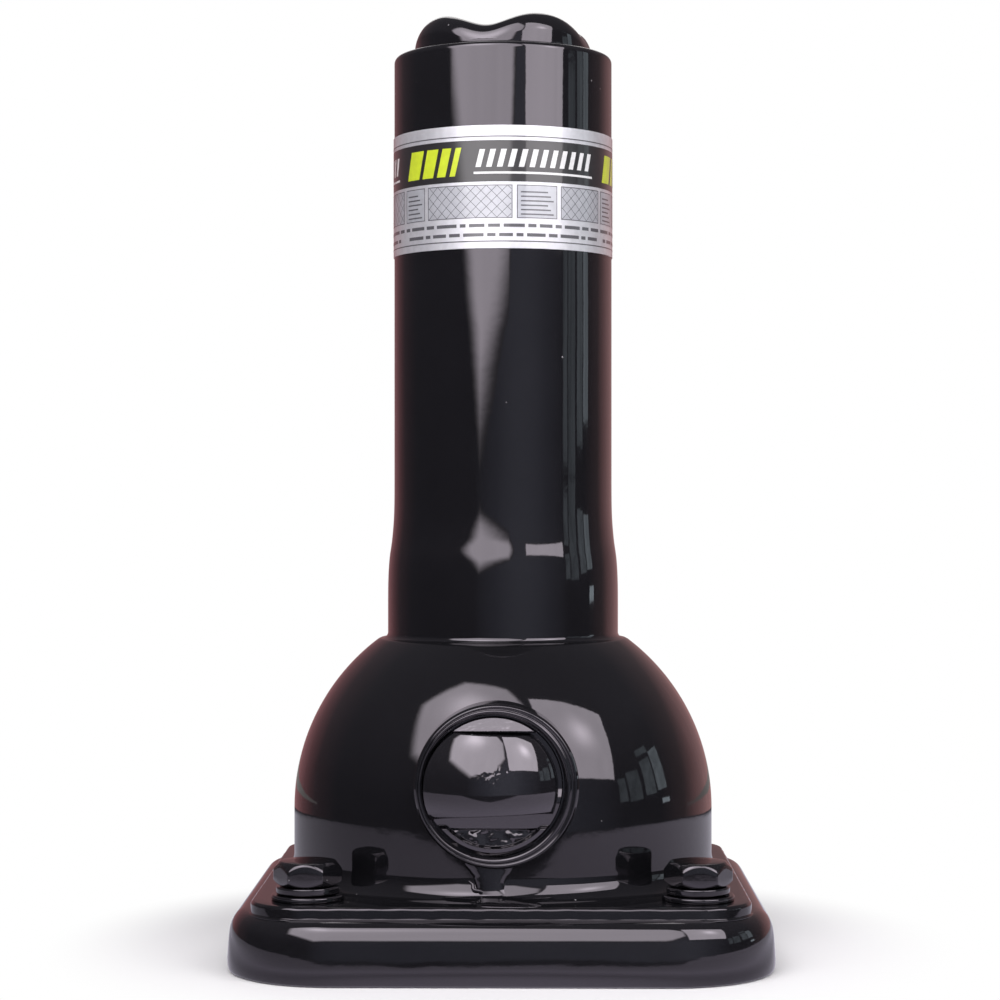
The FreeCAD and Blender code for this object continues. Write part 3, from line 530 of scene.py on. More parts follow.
def base_pan():
    def square_at(reach, z):
        return square_ring(reach, BASE_CORNER - (BASE_HALF - reach), z)

    section = [(BASE_HALF - inset, z) for inset, z in PAN_FOOT]
    inset = 0.62
    heights = np.linspace(0.15, BASE_HEIGHT - 0.02, 60)
    leans = np.interp(heights, *zip(*PAN_LEANS))
    for index, z in enumerate(heights):
        section.append((BASE_HALF - inset, float(z)))
        if index + 1 < len(heights):
            middle = math.radians((leans[index] + leans[index + 1]) / 2.0)
            inset += math.tan(middle) * (heights[index + 1] - z)
    section.extend([(BASE_HALF - inset - 0.5, BASE_HEIGHT), (BASE_HALF - 14.0, BASE_HEIGHT)])
    rings = [square_at(reach, z) for reach, z in section]
    rings.extend(round_rings(arc(WELL_R + WELL_ROUND, BASE_HEIGHT - WELL_ROUND, WELL_ROUND, 90.0, 180.0, 6)))
    rings.extend(round_rings([(WELL_R, WELL_FLOOR), (0.0, WELL_FLOOR), (0.0, 0.0), (WELL_OUT, 0.0),
                              (WELL_OUT, PAN_CEILING)]))
    hollow = rounded_path([(38.0, PAN_CEILING, 0.0), (PAN_INNER - PAN_DRAFT * PAN_CEILING, PAN_CEILING, 3.5),
                           (PAN_INNER, 0.0, 0.0)], steps=6)
    rings.extend(square_at(reach, z) if reach > 46.0 else square_ring(reach, 9.5, z) for reach, z in hollow[1:])
    painted("base_pan_skin", *skin(rings, closed=True), ["base_plate"])


# Boss ring and end plug

BOSS_X = -0.9
PLUG_X = -0.6
# Ball of the plug's head, its place across and up from the boss's centre
BALL_R = 20.0
BALL_SIDE = -1.05
BALL_DROP = -0.55
# Round outline of the head, cut flat above and below
HEAD_R = 14.6
HEAD_SIDE = -0.8
HEAD_MID = -0.5
HEAD_CREST = 56.4
HEAD_TOP = 11.5
HEAD_LOW = -6.35
PLUG_SEAT = 48.4
GROOVE_FLOOR = 47.2


def boss_ring():
    section = rounded_path([(PLUG_R, -49.9, 0.3), (PLUG_R + 0.85, -BOSS_FACE, 0.45), (PLUG_R + 1.25, -49.8, 0.2),
                            (BOSS_R - 0.7, -BOSS_FACE + 0.15, 0.4), (BOSS_R, -49.5, 0.5), (BOSS_R, -BOSS_BACK, 0.0),
                            (PLUG_R, -BOSS_BACK, 0.0)], True, steps=10)
    rings = []
    for ring in cross_rings(section, 256):
        reach = math.hypot(ring[0][0], ring[0][2] - PINION_Z)
        lean = PLUG_X * smooth(BOSS_R - 0.6, PLUG_R + 0.6, reach)
        rings.append([(x + BOSS_X + lean, y, z) for x, y, z in ring])
    painted("plug_boss_skin", *skin(rings, closed=True), ["plug_boss"])


def plug_head(x, h, outside):
    """The ball with its scar, inside a steep wall and two flats."""
    ball = HEAD_CREST - BALL_R + math.sqrt(BALL_R ** 2 - (x - BALL_SIDE) ** 2 - (h - BALL_DROP) ** 2)
    scar = math.exp(-((x - 0.2) ** 2 / 8.0 + (h - 2.6) ** 2 / 3.0))
    ball += 0.10 * scar * waver(x, 0.0, h, 0.9, 9.0) + 0.035 * scar * waver(x, 0.0, h, 2.1, 5.0)
    head = soft_min(ball, PLUG_SEAT - 9.0 * outside, 0.3)
    head = soft_min(head, PLUG_SEAT + 12.0 * (HEAD_TOP - h - 0.035 * x), 0.25)
    return soft_min(head, PLUG_SEAT + 12.0 * (h - HEAD_LOW - 0.045 * x), 0.3)


def plug_land(x, h, radius):
    """Face round the head: a crescent of paint above, a lip and a mottled lens below."""
    land = PLUG_SEAT - 0.5 + 0.15 * (h + 8.0) * smooth(0.0, -4.0, h)
    swirl = 0.10 * waver(0.35 * x, 0.0, h, 1.1, 8.0) + 0.03 * waver(0.5 * x, 0.0, h, 2.6, 3.0)
    land += smooth(HEAD_TOP + 0.1, HEAD_TOP + 0.4, h) * (1.4 + 0.45 * (14.8 - h) + swirl)
    lip = smooth(-8.6, -9.2, h) * smooth(13.2, 13.6, radius) * smooth(14.75, 14.45, radius)
    lens = smooth(-9.3, -9.6, h) * smooth(13.6, 13.2, radius)
    blots = 0.28 * waver(x, 0.0, 1.6 * h, 0.42, 4.0) + 0.045 * waver(x, 0.0, h, 1.2, 2.0)
    return land + 1.7 * lip + lens * (blots - 0.35 - 0.24 * (h + 11.5))


def plug_depth(x, h):
    """Outward reach along -Y of the plug's face, at x across and h above the boss's centre."""
    radius = math.hypot(x, h)
    outside = math.hypot(x - HEAD_SIDE, h - HEAD_MID) - HEAD_R
    face = max(plug_head(x, h, outside), plug_land(x, h, radius))
    groove = smooth(14.75, 14.95, radius) * smooth(15.4, 15.25, radius) * smooth(0.05, 0.30, outside)
    return face - groove * (face - GROOVE_FLOOR)


def end_plug():
    count, steps = 400, 150
    rings = []
    for step in range(steps + 1):
        radius = PLUG_R * math.sin(math.pi / 2.0 * step / steps)
        places = [polar(radius, angle, 0.0) for angle in turns(count)]
        rings.append([(x, -plug_depth(x, h), PINION_Z + h) for x, h, _ in places])
    rings.extend(cross_rings([(PLUG_R, -45.0), (PLUG_R, -PLUG_BACK), (0.0, -PLUG_BACK)], count))
    rings = [[(x + BOSS_X + PLUG_X, y, z) for x, y, z in ring] for ring in rings]
    painted("end_plug_skin", *skin(rings), ["end_plug"], PLUG_ENAMEL)


# Paint pooled under the boss

# Height, left edge, right edge and front of the pooled paint
PAINT_LEVELS = ((25.0, -8.5, 4.6, -49.1), (23.4, -7.4, 3.2, -49.2), (21.8, -6.1, 1.9, -49.35),
                (20.4, -5.6, 1.2, -49.5), (19.0, -5.5, 1.4, -49.65), (17.9, -5.6, 2.6, -49.95),
                (17.55, -5.6, 3.8, -50.6), (17.2, -5.7, 5.4, -51.6), (16.8, -5.8, 7.4, -52.7),
                (16.4, -5.9, 9.0, -53.5), (15.9, -6.0, 9.8, -54.1))
PAINT_HIGH = 25.0
PAINT_LOW = 15.9
PAINT_BACK = -45.5


def squared(value):
    """Cosine or sine of a circle that is part way to a square."""
    return math.copysign(abs(value) ** 0.7, value)


def paint_run():
    """Web of pooled paint between the boss and the flange."""
    levels = np.array(PAINT_LEVELS)
    count = 64
    rings = [[(-1.9, -47.0, PAINT_HIGH)] * count]
    for z in np.linspace(PAINT_HIGH, PAINT_LOW, 46):
        left, right, front = (np.interp(-z, -levels[:, 0], levels[:, column]) for column in (1, 2, 3))
        ring = []
        for angle in turns(count):
            cos, sin = math.cos(angle), math.sin(angle)
            lump = 1.0 + 0.05 * waver(cos, sin, 0.5 * z, 1.4, 3.0)
            ring.append(((left + right) / 2.0 + (right - left) / 2.0 * lump * squared(cos),
                         (front + PAINT_BACK) / 2.0 + (PAINT_BACK - front) / 2.0 * squared(sin), z))
        rings.append(ring)
    rings.append([(1.0, -50.0, PAINT_LOW)] * count)
    painted("paint_run", *skin(rings))


def tube_along(path, radii, count=16):
    """Rings of a thin round bead along a path of points."""
    rings = []
    for index, (point, radius) in enumerate(zip(path, radii)):
        before = Vector(path[max(0, index - 1)])
        after = Vector(path[min(len(path) - 1, index + 1)])
        along = (after - before).normalized()
        across = along.cross(Vector((0.0, 1.0, 0.2))).normalized()
        up = across.cross(along)
        rings.append([tuple(Vector(point) + radius * (across * math.cos(t) + up * math.sin(t)))
                      for t in turns(count)])
    return rings


def paint_curl():
    """Curled bead at the left edge of the web, on the housing's wall."""
    path = []
    radii = []
    for step in range(31):
        share = step / 30.0
        x = -6.9 + 2.6 * share + 0.7 * math.sin(9.0 * share) * share
        z = 20.9 - 2.9 * share + 0.35 * math.cos(7.0 * share) * share
        below = max(0.0, FLANGE_TOP + TOE - z)
        wall = DOME_R + max(0.0, TOE - math.sqrt(max(0.0, TOE ** 2 - below ** 2)))
        path.append((x, -wall - 0.05, z))
        radii.append(0.34 * math.sin(math.pi * max(0.03, share)) ** 0.5 + 0.05)
    painted("paint_curl", *skin(capped(tube_along(path, radii))))


# Saddle

SADDLE_TURN = math.radians(-12.1)
SADDLE_FLAT = 15.4
SADDLE_SIDE = SADDLE_LOW + 3.6
# Depth and width of the valley across X and of the one across Y
VALLEYS = ((3.3, 7.2), (3.4, 7.9))


def saddle_height(radius, angle):
    """Top of the forged cap: a broad crown with two soft valleys across it, raised over the tenon."""
    reach = min(1.0, max(0.0, (radius - SADDLE_FLAT) / (SADDLE_R - SADDLE_FLAT)))
    crown = SADDLE_SIDE + (SADDLE_TOP - 0.1 - SADDLE_SIDE) * (1.0 - reach ** 2.9) ** 0.714
    across = polar(radius, angle - SADDLE_TURN, 0.0)
    first, second = (-depth * math.exp(-(place / width) ** 2) for place, (depth, width) in zip(across, VALLEYS))
    valley = -soft_min(first, second, 0.5)
    lump = 0.16 * waver(*polar(radius, angle, 0.0), 0.16, 7.0)
    over_tenon = 0.55 * math.exp(-(radius / 6.5) ** 4)
    return max(crown - valley + over_tenon + lump * (1.0 - reach), SADDLE_LOW + 0.9)


def saddle():
    count, steps = 224, 70
    rings = []
    for step in range(steps + 1):
        radius = SADDLE_R * math.sin(math.pi / 2.0 * step / steps)
        rings.append([polar(radius, t, saddle_height(radius, t)) for t in turns(count)])
    below = rounded_path([(SADDLE_R, SADDLE_LOW + 0.8, 0.0), (SADDLE_R, SADDLE_LOW, 0.5), (0.0, SADDLE_LOW, 0.0)],
                         steps=6)
    rings.extend(lift_rings(below, count))
    add_piece("saddle_skin", *skin(rings), FORGED_ENAMEL, "inner_screw", "saddle_enamel", ["saddle"])


# Flange fasteners

BOLT_PLACES = [(x + 0.4, y) for x in (-BOLT_HALF, BOLT_HALF) for y in (-BOLT_HALF, BOLT_HALF)]
CONE_SHARES = (0.08, 0.5, 0.93)
LOW_LEAN = 0.75
HIGH_LEAN = 1.25


def hexagon(low, high, hole=0.0):
    """Rings of a hexagon whose two rims are turned down to wide cones, corners on X."""
    angles = turns(192)
    reach = np.array([HEX_FLAT / math.cos(angle % (math.pi / 3.0) - math.pi / 6.0) for angle in angles])
    round_r = 0.935 * HEX_FLAT

    def cone(radii, lean):
        return np.maximum(0.0, radii - round_r) * lean

    ends = [np.full(len(angles), radius) for radius in (hole, (hole + round_r) / 2.0, round_r - 0.25)]
    ends.extend(round_r + (reach - round_r) * share for share in CONE_SHARES)
    wall = high - low - cone(reach, LOW_LEAN + HIGH_LEAN)
    rows = [(radii, low + cone(radii, LOW_LEAN)) for radii in ends]
    rows.extend((reach, low + cone(reach, LOW_LEAN) + 0.1 + share * (wall - 0.2)) for share in (0.0, 0.35, 0.65, 1.0))
    rows.extend((radii, high - cone(radii, HIGH_LEAN)) for radii in reversed(ends))
    return [[polar(*point) for point in zip(radii, angles, heights)] for radii, heights in rows]


def at_bolts(name, parts, replaced):
    """One mesh with the same rings at each flange corner."""
    points = []
    faces = []
    for x, y in BOLT_PLACES:
        for rings, closed in parts:
            start = len(points)
            more, quads = skin(rings, closed)
            points.extend((a + x, b + y, c) for a, b, c in more)
            faces.extend(tuple(index + start for index in face) for face in quads)
    add_piece(name, points, faces, FASTENER_ENAMEL, "housing", "painted_fasteners", [replaced])


def fasteners():
    shank = lift_rings([(0.0, 1.5), (3.4, 1.5), (BOLT_R, 2.1), (BOLT_R, 19.3), (0.0, 19.3)], 48)
    at_bolts("base_bolts_skin", [(hexagon(19.1, 24.4), False), (shank, False)], "base_bolts")
    at_bolts("base_nuts_skin", [(hexagon(2.5, 9.0, BOLT_R + 0.02), True)], "base_nuts")
    flat = rounded_path([(4.05, FLANGE_TOP, 0.0), (7.9, FLANGE_TOP, 0.3), (7.9, WASHER_TOP, 0.4),
                         (4.05, WASHER_TOP, 0.0)], True, steps=4)
    at_bolts("flat_washers_skin", [(lift_rings(flat, 96), True)], "flat_washers")
    square = rounded_path([(4.1, 0.0, 0.2), (6.9, 0.0, 0.3), (6.9, 1.55, 0.3), (4.1, 1.55, 0.2)], True, steps=3)
    coil = []
    for step in range(97):
        share = step / 96.0
        angle = math.radians(5.0 + 350.0 * share)
        lift = WASHER_TOP + 0.33 * share
        coil.append([polar(r, angle, z + lift) for r, z in square])
    at_bolts("spring_washers_skin", [(capped(coil), False)], "spring_washers")


# Lifting screws

THREAD_DEPTH = 1.7
# Place along the pitch, and share of the full depth there
THREAD_FORM = ((0.36, 0.0), (0.46, 1.0), (0.90, 1.0), (1.0, 0.0))


def threaded(radius, low, high, hand, count, step=0.4):
    """Rings of a screw's outside between two heights, with the thread run out at its ends."""
    rings = []
    rows = int((high - low) / step)
    angles = np.array(turns(count))
    for row in range(rows + 1):
        z = low + (high - low) * row / rows
        fade = smooth(low, low + 2.0, z) * smooth(high, high - 2.0, z)
        cuts = np.interp((z / LEAD - hand * angles / (2.0 * math.pi)) % 1.0, *zip(*THREAD_FORM))
        radii = radius - THREAD_DEPTH * fade * cuts
        rings.append([polar(r, t, z) for r, t in zip(radii, angles)])
    return rings


def screws():
    count = 120
    outer = lift_rings([(11.2, 205.17), (16.2, 205.17), (OUTER_R, 204.4)], count)
    outer.extend(reversed(threaded(OUTER_R, 52.0, 204.0, 1.0, count)))
    outer.extend(lift_rings([(OUTER_R, 51.0), (OUTER_R, 33.0), (16.0, 32.0), (OUTER_BORE, 32.0),
                             (OUTER_BORE, 180.17), (11.2, 180.17)], count))
    inner = lift_rings([(0.0, 211.3), (6.0, 211.3), (6.0, SADDLE_LOW), (INNER_R, SADDLE_LOW), (INNER_R, 206.0)], count)
    inner.extend(reversed(threaded(INNER_R, 90.0, 205.8, -1.0, count)))
    inner.extend(lift_rings([(INNER_R, 89.0), (INNER_R, 84.87), (9.8, 84.87), (9.8, 82.37), (INNER_R, 82.37),
                             (INNER_R, 78.4), (10.0, 77.4), (0.0, 77.4)], count))
    for body, rings, closed in (("outer_screw", outer, True), ("inner_screw", inner, False)):
        add_piece(body + "_skin", *skin(rings, closed), SCREW_STEEL, body, "screw_steel", [body])


# Label

INK_LOW = 0.010
INK_HIGH = 0.030
LABEL_PARTS = 3
# Rows of the label, measured down from its upper edge
STRIPE_ROW = (12.7, 3.4)
BLOCK_ROW = (11.3, 4.9)
PANEL_ROW = (20.9, 13.4)
DASH_ROWS = (22.9, 25.0)
# Slanted lime blocks: place and width
LIME_BLOCKS = ((0.0, 4.4), (5.5, 3.3), (9.9, 2.3), (13.3, 1.4))
# Framed panels: left, right, and whether diamonds or bars fill them
LABEL_PANELS = ((-26.3, -19.3, False), (-18.3, 2.4, True), (3.4, 13.0, False), (14.0, 26.3, True))
PANEL_LINE = 0.18
DASHES = (3.1, 1.6, 4.4, 2.2, 5.2, 1.4, 3.6, 2.7, 4.8, 1.9)


def printed(name, material, patches, lift):
    """Ink on the label: slanted strips (left, right, low, high, shift of the upper edge).

    Places across are millimetres round the tube from its front.
    """
    points = []
    faces = []
    for left, right, low, high, shift in patches:
        across = max(1, math.ceil((right - left) / 0.8))
        rise = max(1, math.ceil(abs(shift) / 0.4))
        start = len(points)
        for row in range(rise + 1):
            up = row / rise
            for column in range(across + 1):
                angle = (left + (right - left) * column / across + shift * up) / LABEL_R - math.pi / 2.0
                points.append(polar(LABEL_R + lift, angle, low + (high - low) * up))
        for row in range(rise):
            for column in range(across):
                a = start + row * (across + 1) + column
                faces.append((a, a + 1, a + across + 2, a + across + 1))
    mesh = new_mesh(name, points, faces, material)
    mesh.shade_smooth()
    place_piece(mesh, "housing")


def lattice(left, right, low, high, pitch, width):
    """Crossed slanted strips that fill a panel with diamonds."""
    strips = []
    rise = high - low
    for run in (rise, -rise):
        start = left - rise
        while start < right + rise:
            cuts = sorted(((left - start) / run, (right - width - start) / run))
            first, last = max(0.0, cuts[0]), min(1.0, cuts[1])
            if first < last - 1e-6:
                foot = start + run * first
                strips.append((foot, foot + width, low + rise * first, low + rise * last, run * (last - first)))
            start += pitch
    return strips


def panel_marks(left, right, low, high, diamonds):
    """Frame of a panel and what fills it."""
    marks = [(left, right, high - PANEL_LINE, high, 0.0), (left, right, low, low + PANEL_LINE, 0.0),
             (left, left + PANEL_LINE, low, high, 0.0), (right - PANEL_LINE, right, low, high, 0.0)]
    if diamonds:
        return marks + lattice(left + 0.2, right - 0.2, low + 0.2, high - 0.2, 2.4, 0.17)
    rows = 6
    for row in range(rows):
        level = low + 0.75 + (high - low - 1.5) * row / rows
        marks.append((left + 0.9, right - 0.9 - 0.7 * (row % 3), level, level + 0.32, 0.0))
    return marks


def label():
    band = rounded_path([(TUBE_R + 0.01, LABEL_LOW, 0.0), (LABEL_R, LABEL_LOW, 0.06), (LABEL_R, LABEL_HIGH, 0.06),
                         (TUBE_R + 0.01, LABEL_HIGH, 0.0)], True, steps=3)
    add_piece("label_film", *skin(lift_rings(band, 256), closed=True), FILM_SILVER, "housing", "label_film",
              ["label_band"])
    half = math.pi * LABEL_R
    top = LABEL_HIGH
    low, high, row_low, row_high, stripe_low, stripe_high = (
        top - drop for drop in BLOCK_ROW + PANEL_ROW + STRIPE_ROW)
    lime, white, mid = [], [], []
    grey = [(-half, half, top - 2.65, top - 2.40, 0.0), (-half, half, LABEL_LOW + 1.50, LABEL_LOW + 1.75, 0.0)]
    for part in range(LABEL_PARTS):
        middle = -half + 2.0 * half / LABEL_PARTS * (part + 0.5)
        for place, wide in LIME_BLOCKS:
            left = middle - 25.6 + place
            lime.append((left, left + wide, low, high, 1.6))
        for bar in range(12):
            left = middle - 6.0 + 2.45 * bar
            white.append((left, left + 1.25, low + 1.9, high - 0.5, 1.0))
        white.append((middle - 6.4, middle + 23.6, low + 0.35, low + 0.85, 0.0))
        for left, right, diamonds in LABEL_PANELS:
            left, right = left + middle, right + middle
            grey.extend(panel_marks(left, right, row_low, row_high, diamonds))
            mid.append((left + PANEL_LINE, right - PANEL_LINE, row_low + PANEL_LINE, row_high - PANEL_LINE, 0.0))
        for line, drop in enumerate(DASH_ROWS):
            place = middle - 26.3 + 1.3 * line
            index = line * 3 + part
            while place < middle + 25.0:
                end = min(place + DASHES[index % len(DASHES)], middle + 26.3)
                grey.append((place, end, top - drop, top - drop + 0.75, 0.0))
                place = end + 0.8
                index += 1
    printed("label_stripe", FILM_BLACK, [(-half, half, stripe_low, stripe_high, 0.0)], INK_LOW)
    printed("label_tint", FILM_MID, mid, INK_LOW)
    printed("label_lime_print", FILM_LIME, lime, INK_HIGH)
    printed("label_white_print", FILM_WHITE, white, INK_HIGH)
    printed("label_grey_print", FILM_GREY, grey, INK_HIGH)


# Finish of the solids that stay

CARRIED = (
    (BRONZE, ("column_nut", "bearing_cage", "thrust_washer", "pinion_bush")),
    (BEARING_STEEL, ("thrust_race_lower", "thrust_race_upper", "bearing_balls", "sleeve_pins", "stop_ring")),
    (GEAR_STEEL, ("centre_post", "crown_gear", "drive_sleeve", "bevel_pinion", "eye_pin", "drive_keys")),
    (ENAMEL, ("pinion_boss", "drive_eye")),
)


def dress_solids():
    for material, names in CARRIED:
        for name in names:
            materials = frame["nodes"][name].data.materials
            materials.clear()
            materials.append(material)


# Studio

CAMERA_TURN = 0.6
LIGHT_TURN = Matrix.Rotation(math.radians(CAMERA_TURN - 1.5), 3, "Z")
SOFTBOX_LEVEL = 3.5
EDGE_GLOW = 0.14
WHITE = (1.0, 1.0, 1.0)
SKY_Z = 70.0
SKY_REACH = 1500.0


def emission_material(name, colour=WHITE, strength=1.0):
    material = bpy.data.materials.new(name)
    tree = Tree(material, empty=True)
    glow = tree.add("Emission", {"Color": colour, "Strength": strength})
    tree.add("OutputMaterial", {"Surface": glow.outputs[0]})
    return material, tree, glow


def add_stage(mesh, lift=0.0):
    """An object of the studio, which isn't part of the jack."""
    made = new_object(mesh)
    made.location.z = lift
    return made


def panel(name, corners, material):
    """Flat lit panel of the studio, unseen by the camera."""
    made = add_stage(new_mesh(name, corners, [tuple(range(len(corners)))], material))
    made.visible_camera = False
    return made


def softbox_material(name, centre, edges, level, lamp, lamp_gain, tilt_to, tilt, fade_from):
    """Softbox face: a bright lamp behind the cloth, brighter towards one side, fading at its edges.

    The edges are (outward normal, distance from the centre) pairs, each taken on both sides.
    """
    material, tree, glow = emission_material(name, (1.0, 0.97, 1.0))
    coords = tree.coords()

    def offset_from(point):
        return tree.vector("SUBTRACT", coords, tuple(part * MM for part in point))

    offset = offset_from(centre)

    def share_along(direction, reach):
        return tree.vector("DOT_PRODUCT", offset, tuple(direction / (reach * MM)))

    width = max(reach for _, reach in edges)
    share = tree.math("DIVIDE", tree.vector("LENGTH", offset_from(lamp)), 0.30 * width * MM)
    peak = tree.math("EXPONENT", tree.math("MULTIPLY", tree.math("MULTIPLY", share, share), -1.0))
    level = tree.line(peak, lamp_gain * SOFTBOX_LEVEL, level * SOFTBOX_LEVEL)
    lean = tree.line(share_along(tilt_to, width), tilt, 1.0)
    folds = tree.noise(tree.stretched(coords, (1.0, 1.0, 0.35)), 7.0)
    cloth = tree.line(folds, 0.26, 0.87)
    rim = 0.0
    for normal, reach in edges:
        rim = tree.math("MAXIMUM", tree.math("ABSOLUTE", share_along(normal, reach)), rim)
    fade = tree.soft_step(rim, 1.0, fade_from)
    strength = tree.math("MULTIPLY", tree.math("MULTIPLY", level, lean), cloth)
    tree.wire(glow, {"Strength": tree.line(strength, fade, EDGE_GLOW)})
    return material


def octagon_softbox():
    centre = LIGHT_TURN @ Vector((-75.0, -372.0, 485.0))
    across = LIGHT_TURN @ Vector((-0.875, 0.474, -0.103))
    up = LIGHT_TURN @ Vector((0.071, 0.336, 0.939))
    radius = 396.0
    lamp = centre + 90.0 * across + 75.0 * up

    def spoke(angle):
        return across * math.sin(angle) + up * math.cos(angle)

    angles = [-0.244 + step * math.pi / 4.0 for step in range(8)]
    edges = [(spoke(angle + math.pi / 8.0), radius * math.cos(math.pi / 8.0)) for angle in angles[:4]]
    material = softbox_material("octagon_light", centre, edges, 0.78, lamp, 0.75, across, 0.12, 0.84)
    panel("octagon_softbox", [centre + radius * spoke(angle) for angle in angles], material)


def square_softbox():
    centre = LIGHT_TURN @ Vector((457.0, -332.0, 461.8))
    across = LIGHT_TURN @ Vector((-0.974, -0.220, -0.049))
    up = LIGHT_TURN @ Vector((-0.130, 0.371, 0.919))
    wide, tall = 280.0, 256.0
    material = softbox_material("square_light", centre, [(across, wide), (up, tall)], 0.86, centre + 20.0 * up, 0.95,
                                across, 0.05, 0.96)
    panel("square_softbox", [centre + across * (wide * a) + up * (tall * b)
                             for a, b in ((-1, -1), (1, -1), (1, 1), (-1, 1))], material)


def sky_direction(azimuth, elevation):
    """Direction at an azimuth from the front, towards +X, and an elevation."""
    a, e = math.radians(azimuth), math.radians(elevation)
    return (math.sin(a) * math.cos(e), -math.cos(a) * math.cos(e), math.sin(e))


def sky_point(azimuth, elevation, reach):
    x, y, z = (reach * part for part in sky_direction(azimuth, elevation))
    return (x, y, SKY_Z + z)


# Azimuths, elevations and level of each pane
WINDOW_PANES = ((66.0, 71.4, (2.4, 12.5), 0.40), (72.6, 81.6, (2.0, 14.5), 0.36), (84.3, 92.3, (3.0, 17.0), 0.50),
                (93.4, 101.0, (3.6, 18.6), 0.80), (84.0, 93.0, (18.9, 21.6), 0.46), (96.0, 102.0, (-1.5, 0.2), 1.6))
# Azimuth, and lowest and highest elevation, at each end of a shelf
PALE_SHELVES = ((120.0, (-4.8, -4.4), 146.0, (-5.5, -4.1)), (146.0, (-5.5, -4.1), 174.0, (-6.8, -5.6)))


def sky_panel(name, start, start_span, end, end_span, material):
    """Strip between two azimuths, with the lowest and highest elevation at each, in a few flat steps."""
    steps = max(1, int(abs(end - start) / 10.0))

    def side(share):
        azimuth = start + (end - start) * share
        return [sky_point(azimuth, first + (last - first) * share, SKY_REACH)
                for first, last in zip(start_span, end_span)]

    for step in range(steps):
        low, high = side(step / steps)
        next_low, next_high = side((step + 1) / steps)
        panel("%s_%d" % (name, step), [low, next_low, next_high, high], material).visible_diffuse = False


def windows():
    """Dirty window at the right, and pale shelves behind, for the reflections."""
    for index, (left, right, span, level) in enumerate(WINDOW_PANES):
        glass, tree, glow = emission_material("window_light_%d" % index, (0.80, 0.96, 1.0))
        dirt = tree.noise(tree.coords(), 9.0, 4.0, 0.65)
        tree.wire(glow, {"Strength": tree.line(dirt, 1.6 * level, 0.2 * level)})
        sky_panel("window_%d" % index, left, span, right, span, glass)
    pale = emission_material("shelf_light", (1.0, 0.93, 0.90), 0.30)[0]
    for index, (start, start_span, end, end_span) in enumerate(PALE_SHELVES):
        for side, sign in (("right", 1.0), ("left", -1.0)):
            sky_panel("shelf_%s_%d" % (side, index), sign * start, start_span, sign * end, end_span, pale)


# Azimuth and elevation of each corner
BACK_CORNERS = ((163.0, 28.0), (197.0, 28.0), (197.0, 58.0), (163.0, 58.0))
BACK_REACH = 900.0


def back_softbox():
    """Fill from above and behind, for the back of the jack."""
    material = emission_material("back_light", (1.0, 0.98, 0.97), 1.5)[0]
    panel("back_softbox", [sky_point(*corner, BACK_REACH) for corner in BACK_CORNERS], material)


def reflected_only(made):
    for ray in ("camera", "diffuse", "shadow", "transmission"):
        setattr(made, "visible_" + ray, False)


BLACK = (0.0, 0.0, 0.0)
ROOM_DARK = (0.055, 0.053, 0.062)
ROOM_R = 2.6
ROOM_WALLS = ((0.0, (0.05, 0.05, 0.055)), (0.55, ROOM_DARK), (0.80, (0.115, 0.112, 0.125)),
              (1.0, (0.12, 0.118, 0.13)))
# Azimuth and elevation of each glow, and its colours by the cosine to that direction
FRONT_GLOW = (20.0, 3.0, ((0.66, BLACK), (0.90, (0.085, 0.097, 0.118)), (1.0, (0.175, 0.195, 0.225))))
RIGHT_GLOW = (148.0, -4.0, ((0.60, BLACK), (0.86, (0.10, 0.058, 0.052)), (0.96, (0.40, 0.20, 0.19)),
                            (1.0, (0.50, 0.26, 0.25))))
LEFT_GLOW = (-155.0, -3.0, ((0.60, BLACK), (0.86, (0.066, 0.028, 0.028)), (0.96, (0.23, 0.080, 0.082)),
                            (1.0, (0.34, 0.125, 0.13))))


def room():
    """Dim room round the jack, seen only in reflections."""
    material, tree, glow = emission_material("room_dark")
    unit = tree.vector("NORMALIZE", tree.coords())
    split = tree.add("SeparateXYZ", {0: unit})

    def facing_glow(azimuth, elevation, stops):
        facing = tree.vector("DOT_PRODUCT", unit, sky_direction(azimuth, elevation))
        return tree.ramp(facing, ((0.0, BLACK),) + stops)

    walls = tree.ramp(tree.line(split.outputs["Z"], 0.5, 0.5), ROOM_WALLS)
    bands = tree.noise(tree.stretched(unit, (1.3, 15.0, 1.3)), 1.0, 2.0, 0.6)
    thin = tree.math("ABSOLUTE", tree.math("SUBTRACT", bands, 0.5))
    lines = tree.math("SUBTRACT", 1.6, tree.math("MULTIPLY", thin, 44.0), clamp=True)
    streaks = tree.noise(tree.stretched(unit, (2.0, 14.0, 2.0)), 1.0, 3.0, 0.7)
    shelf = tree.line(lines, 0.12, tree.line(streaks, 0.2, 0.82))
    back = tree.mix(1.0, facing_glow(*LEFT_GLOW), facing_glow(*RIGHT_GLOW), "ADD")
    back = tree.mix(1.0, back, shelf, "MULTIPLY")
    front = tree.mix(1.0, walls, facing_glow(*FRONT_GLOW), "ADD")
    tree.wire(glow, {"Color": tree.mix(1.0, front, back, "ADD")})
    mesh = bpy.data.meshes.new("room")
    work = bmesh.new()
    bmesh.ops.create_uvsphere(work, u_segments=64, v_segments=32, radius=ROOM_R)
    work.to_mesh(mesh)
    work.free()
    mesh.shade_smooth()
    mesh.materials.append(material)
    reflected_only(add_stage(mesh))


# Reach of the lit part of the table behind, beside and before the jack, in metres
TABLE_R = 0.258
TABLE_SIDE = 0.29
TABLE_FRONT = 0.17
# Half widths in X and Y of the table and of the hole in its middle
TABLE_RIMS = ((310.0, 270.0), (50.0, 50.0))
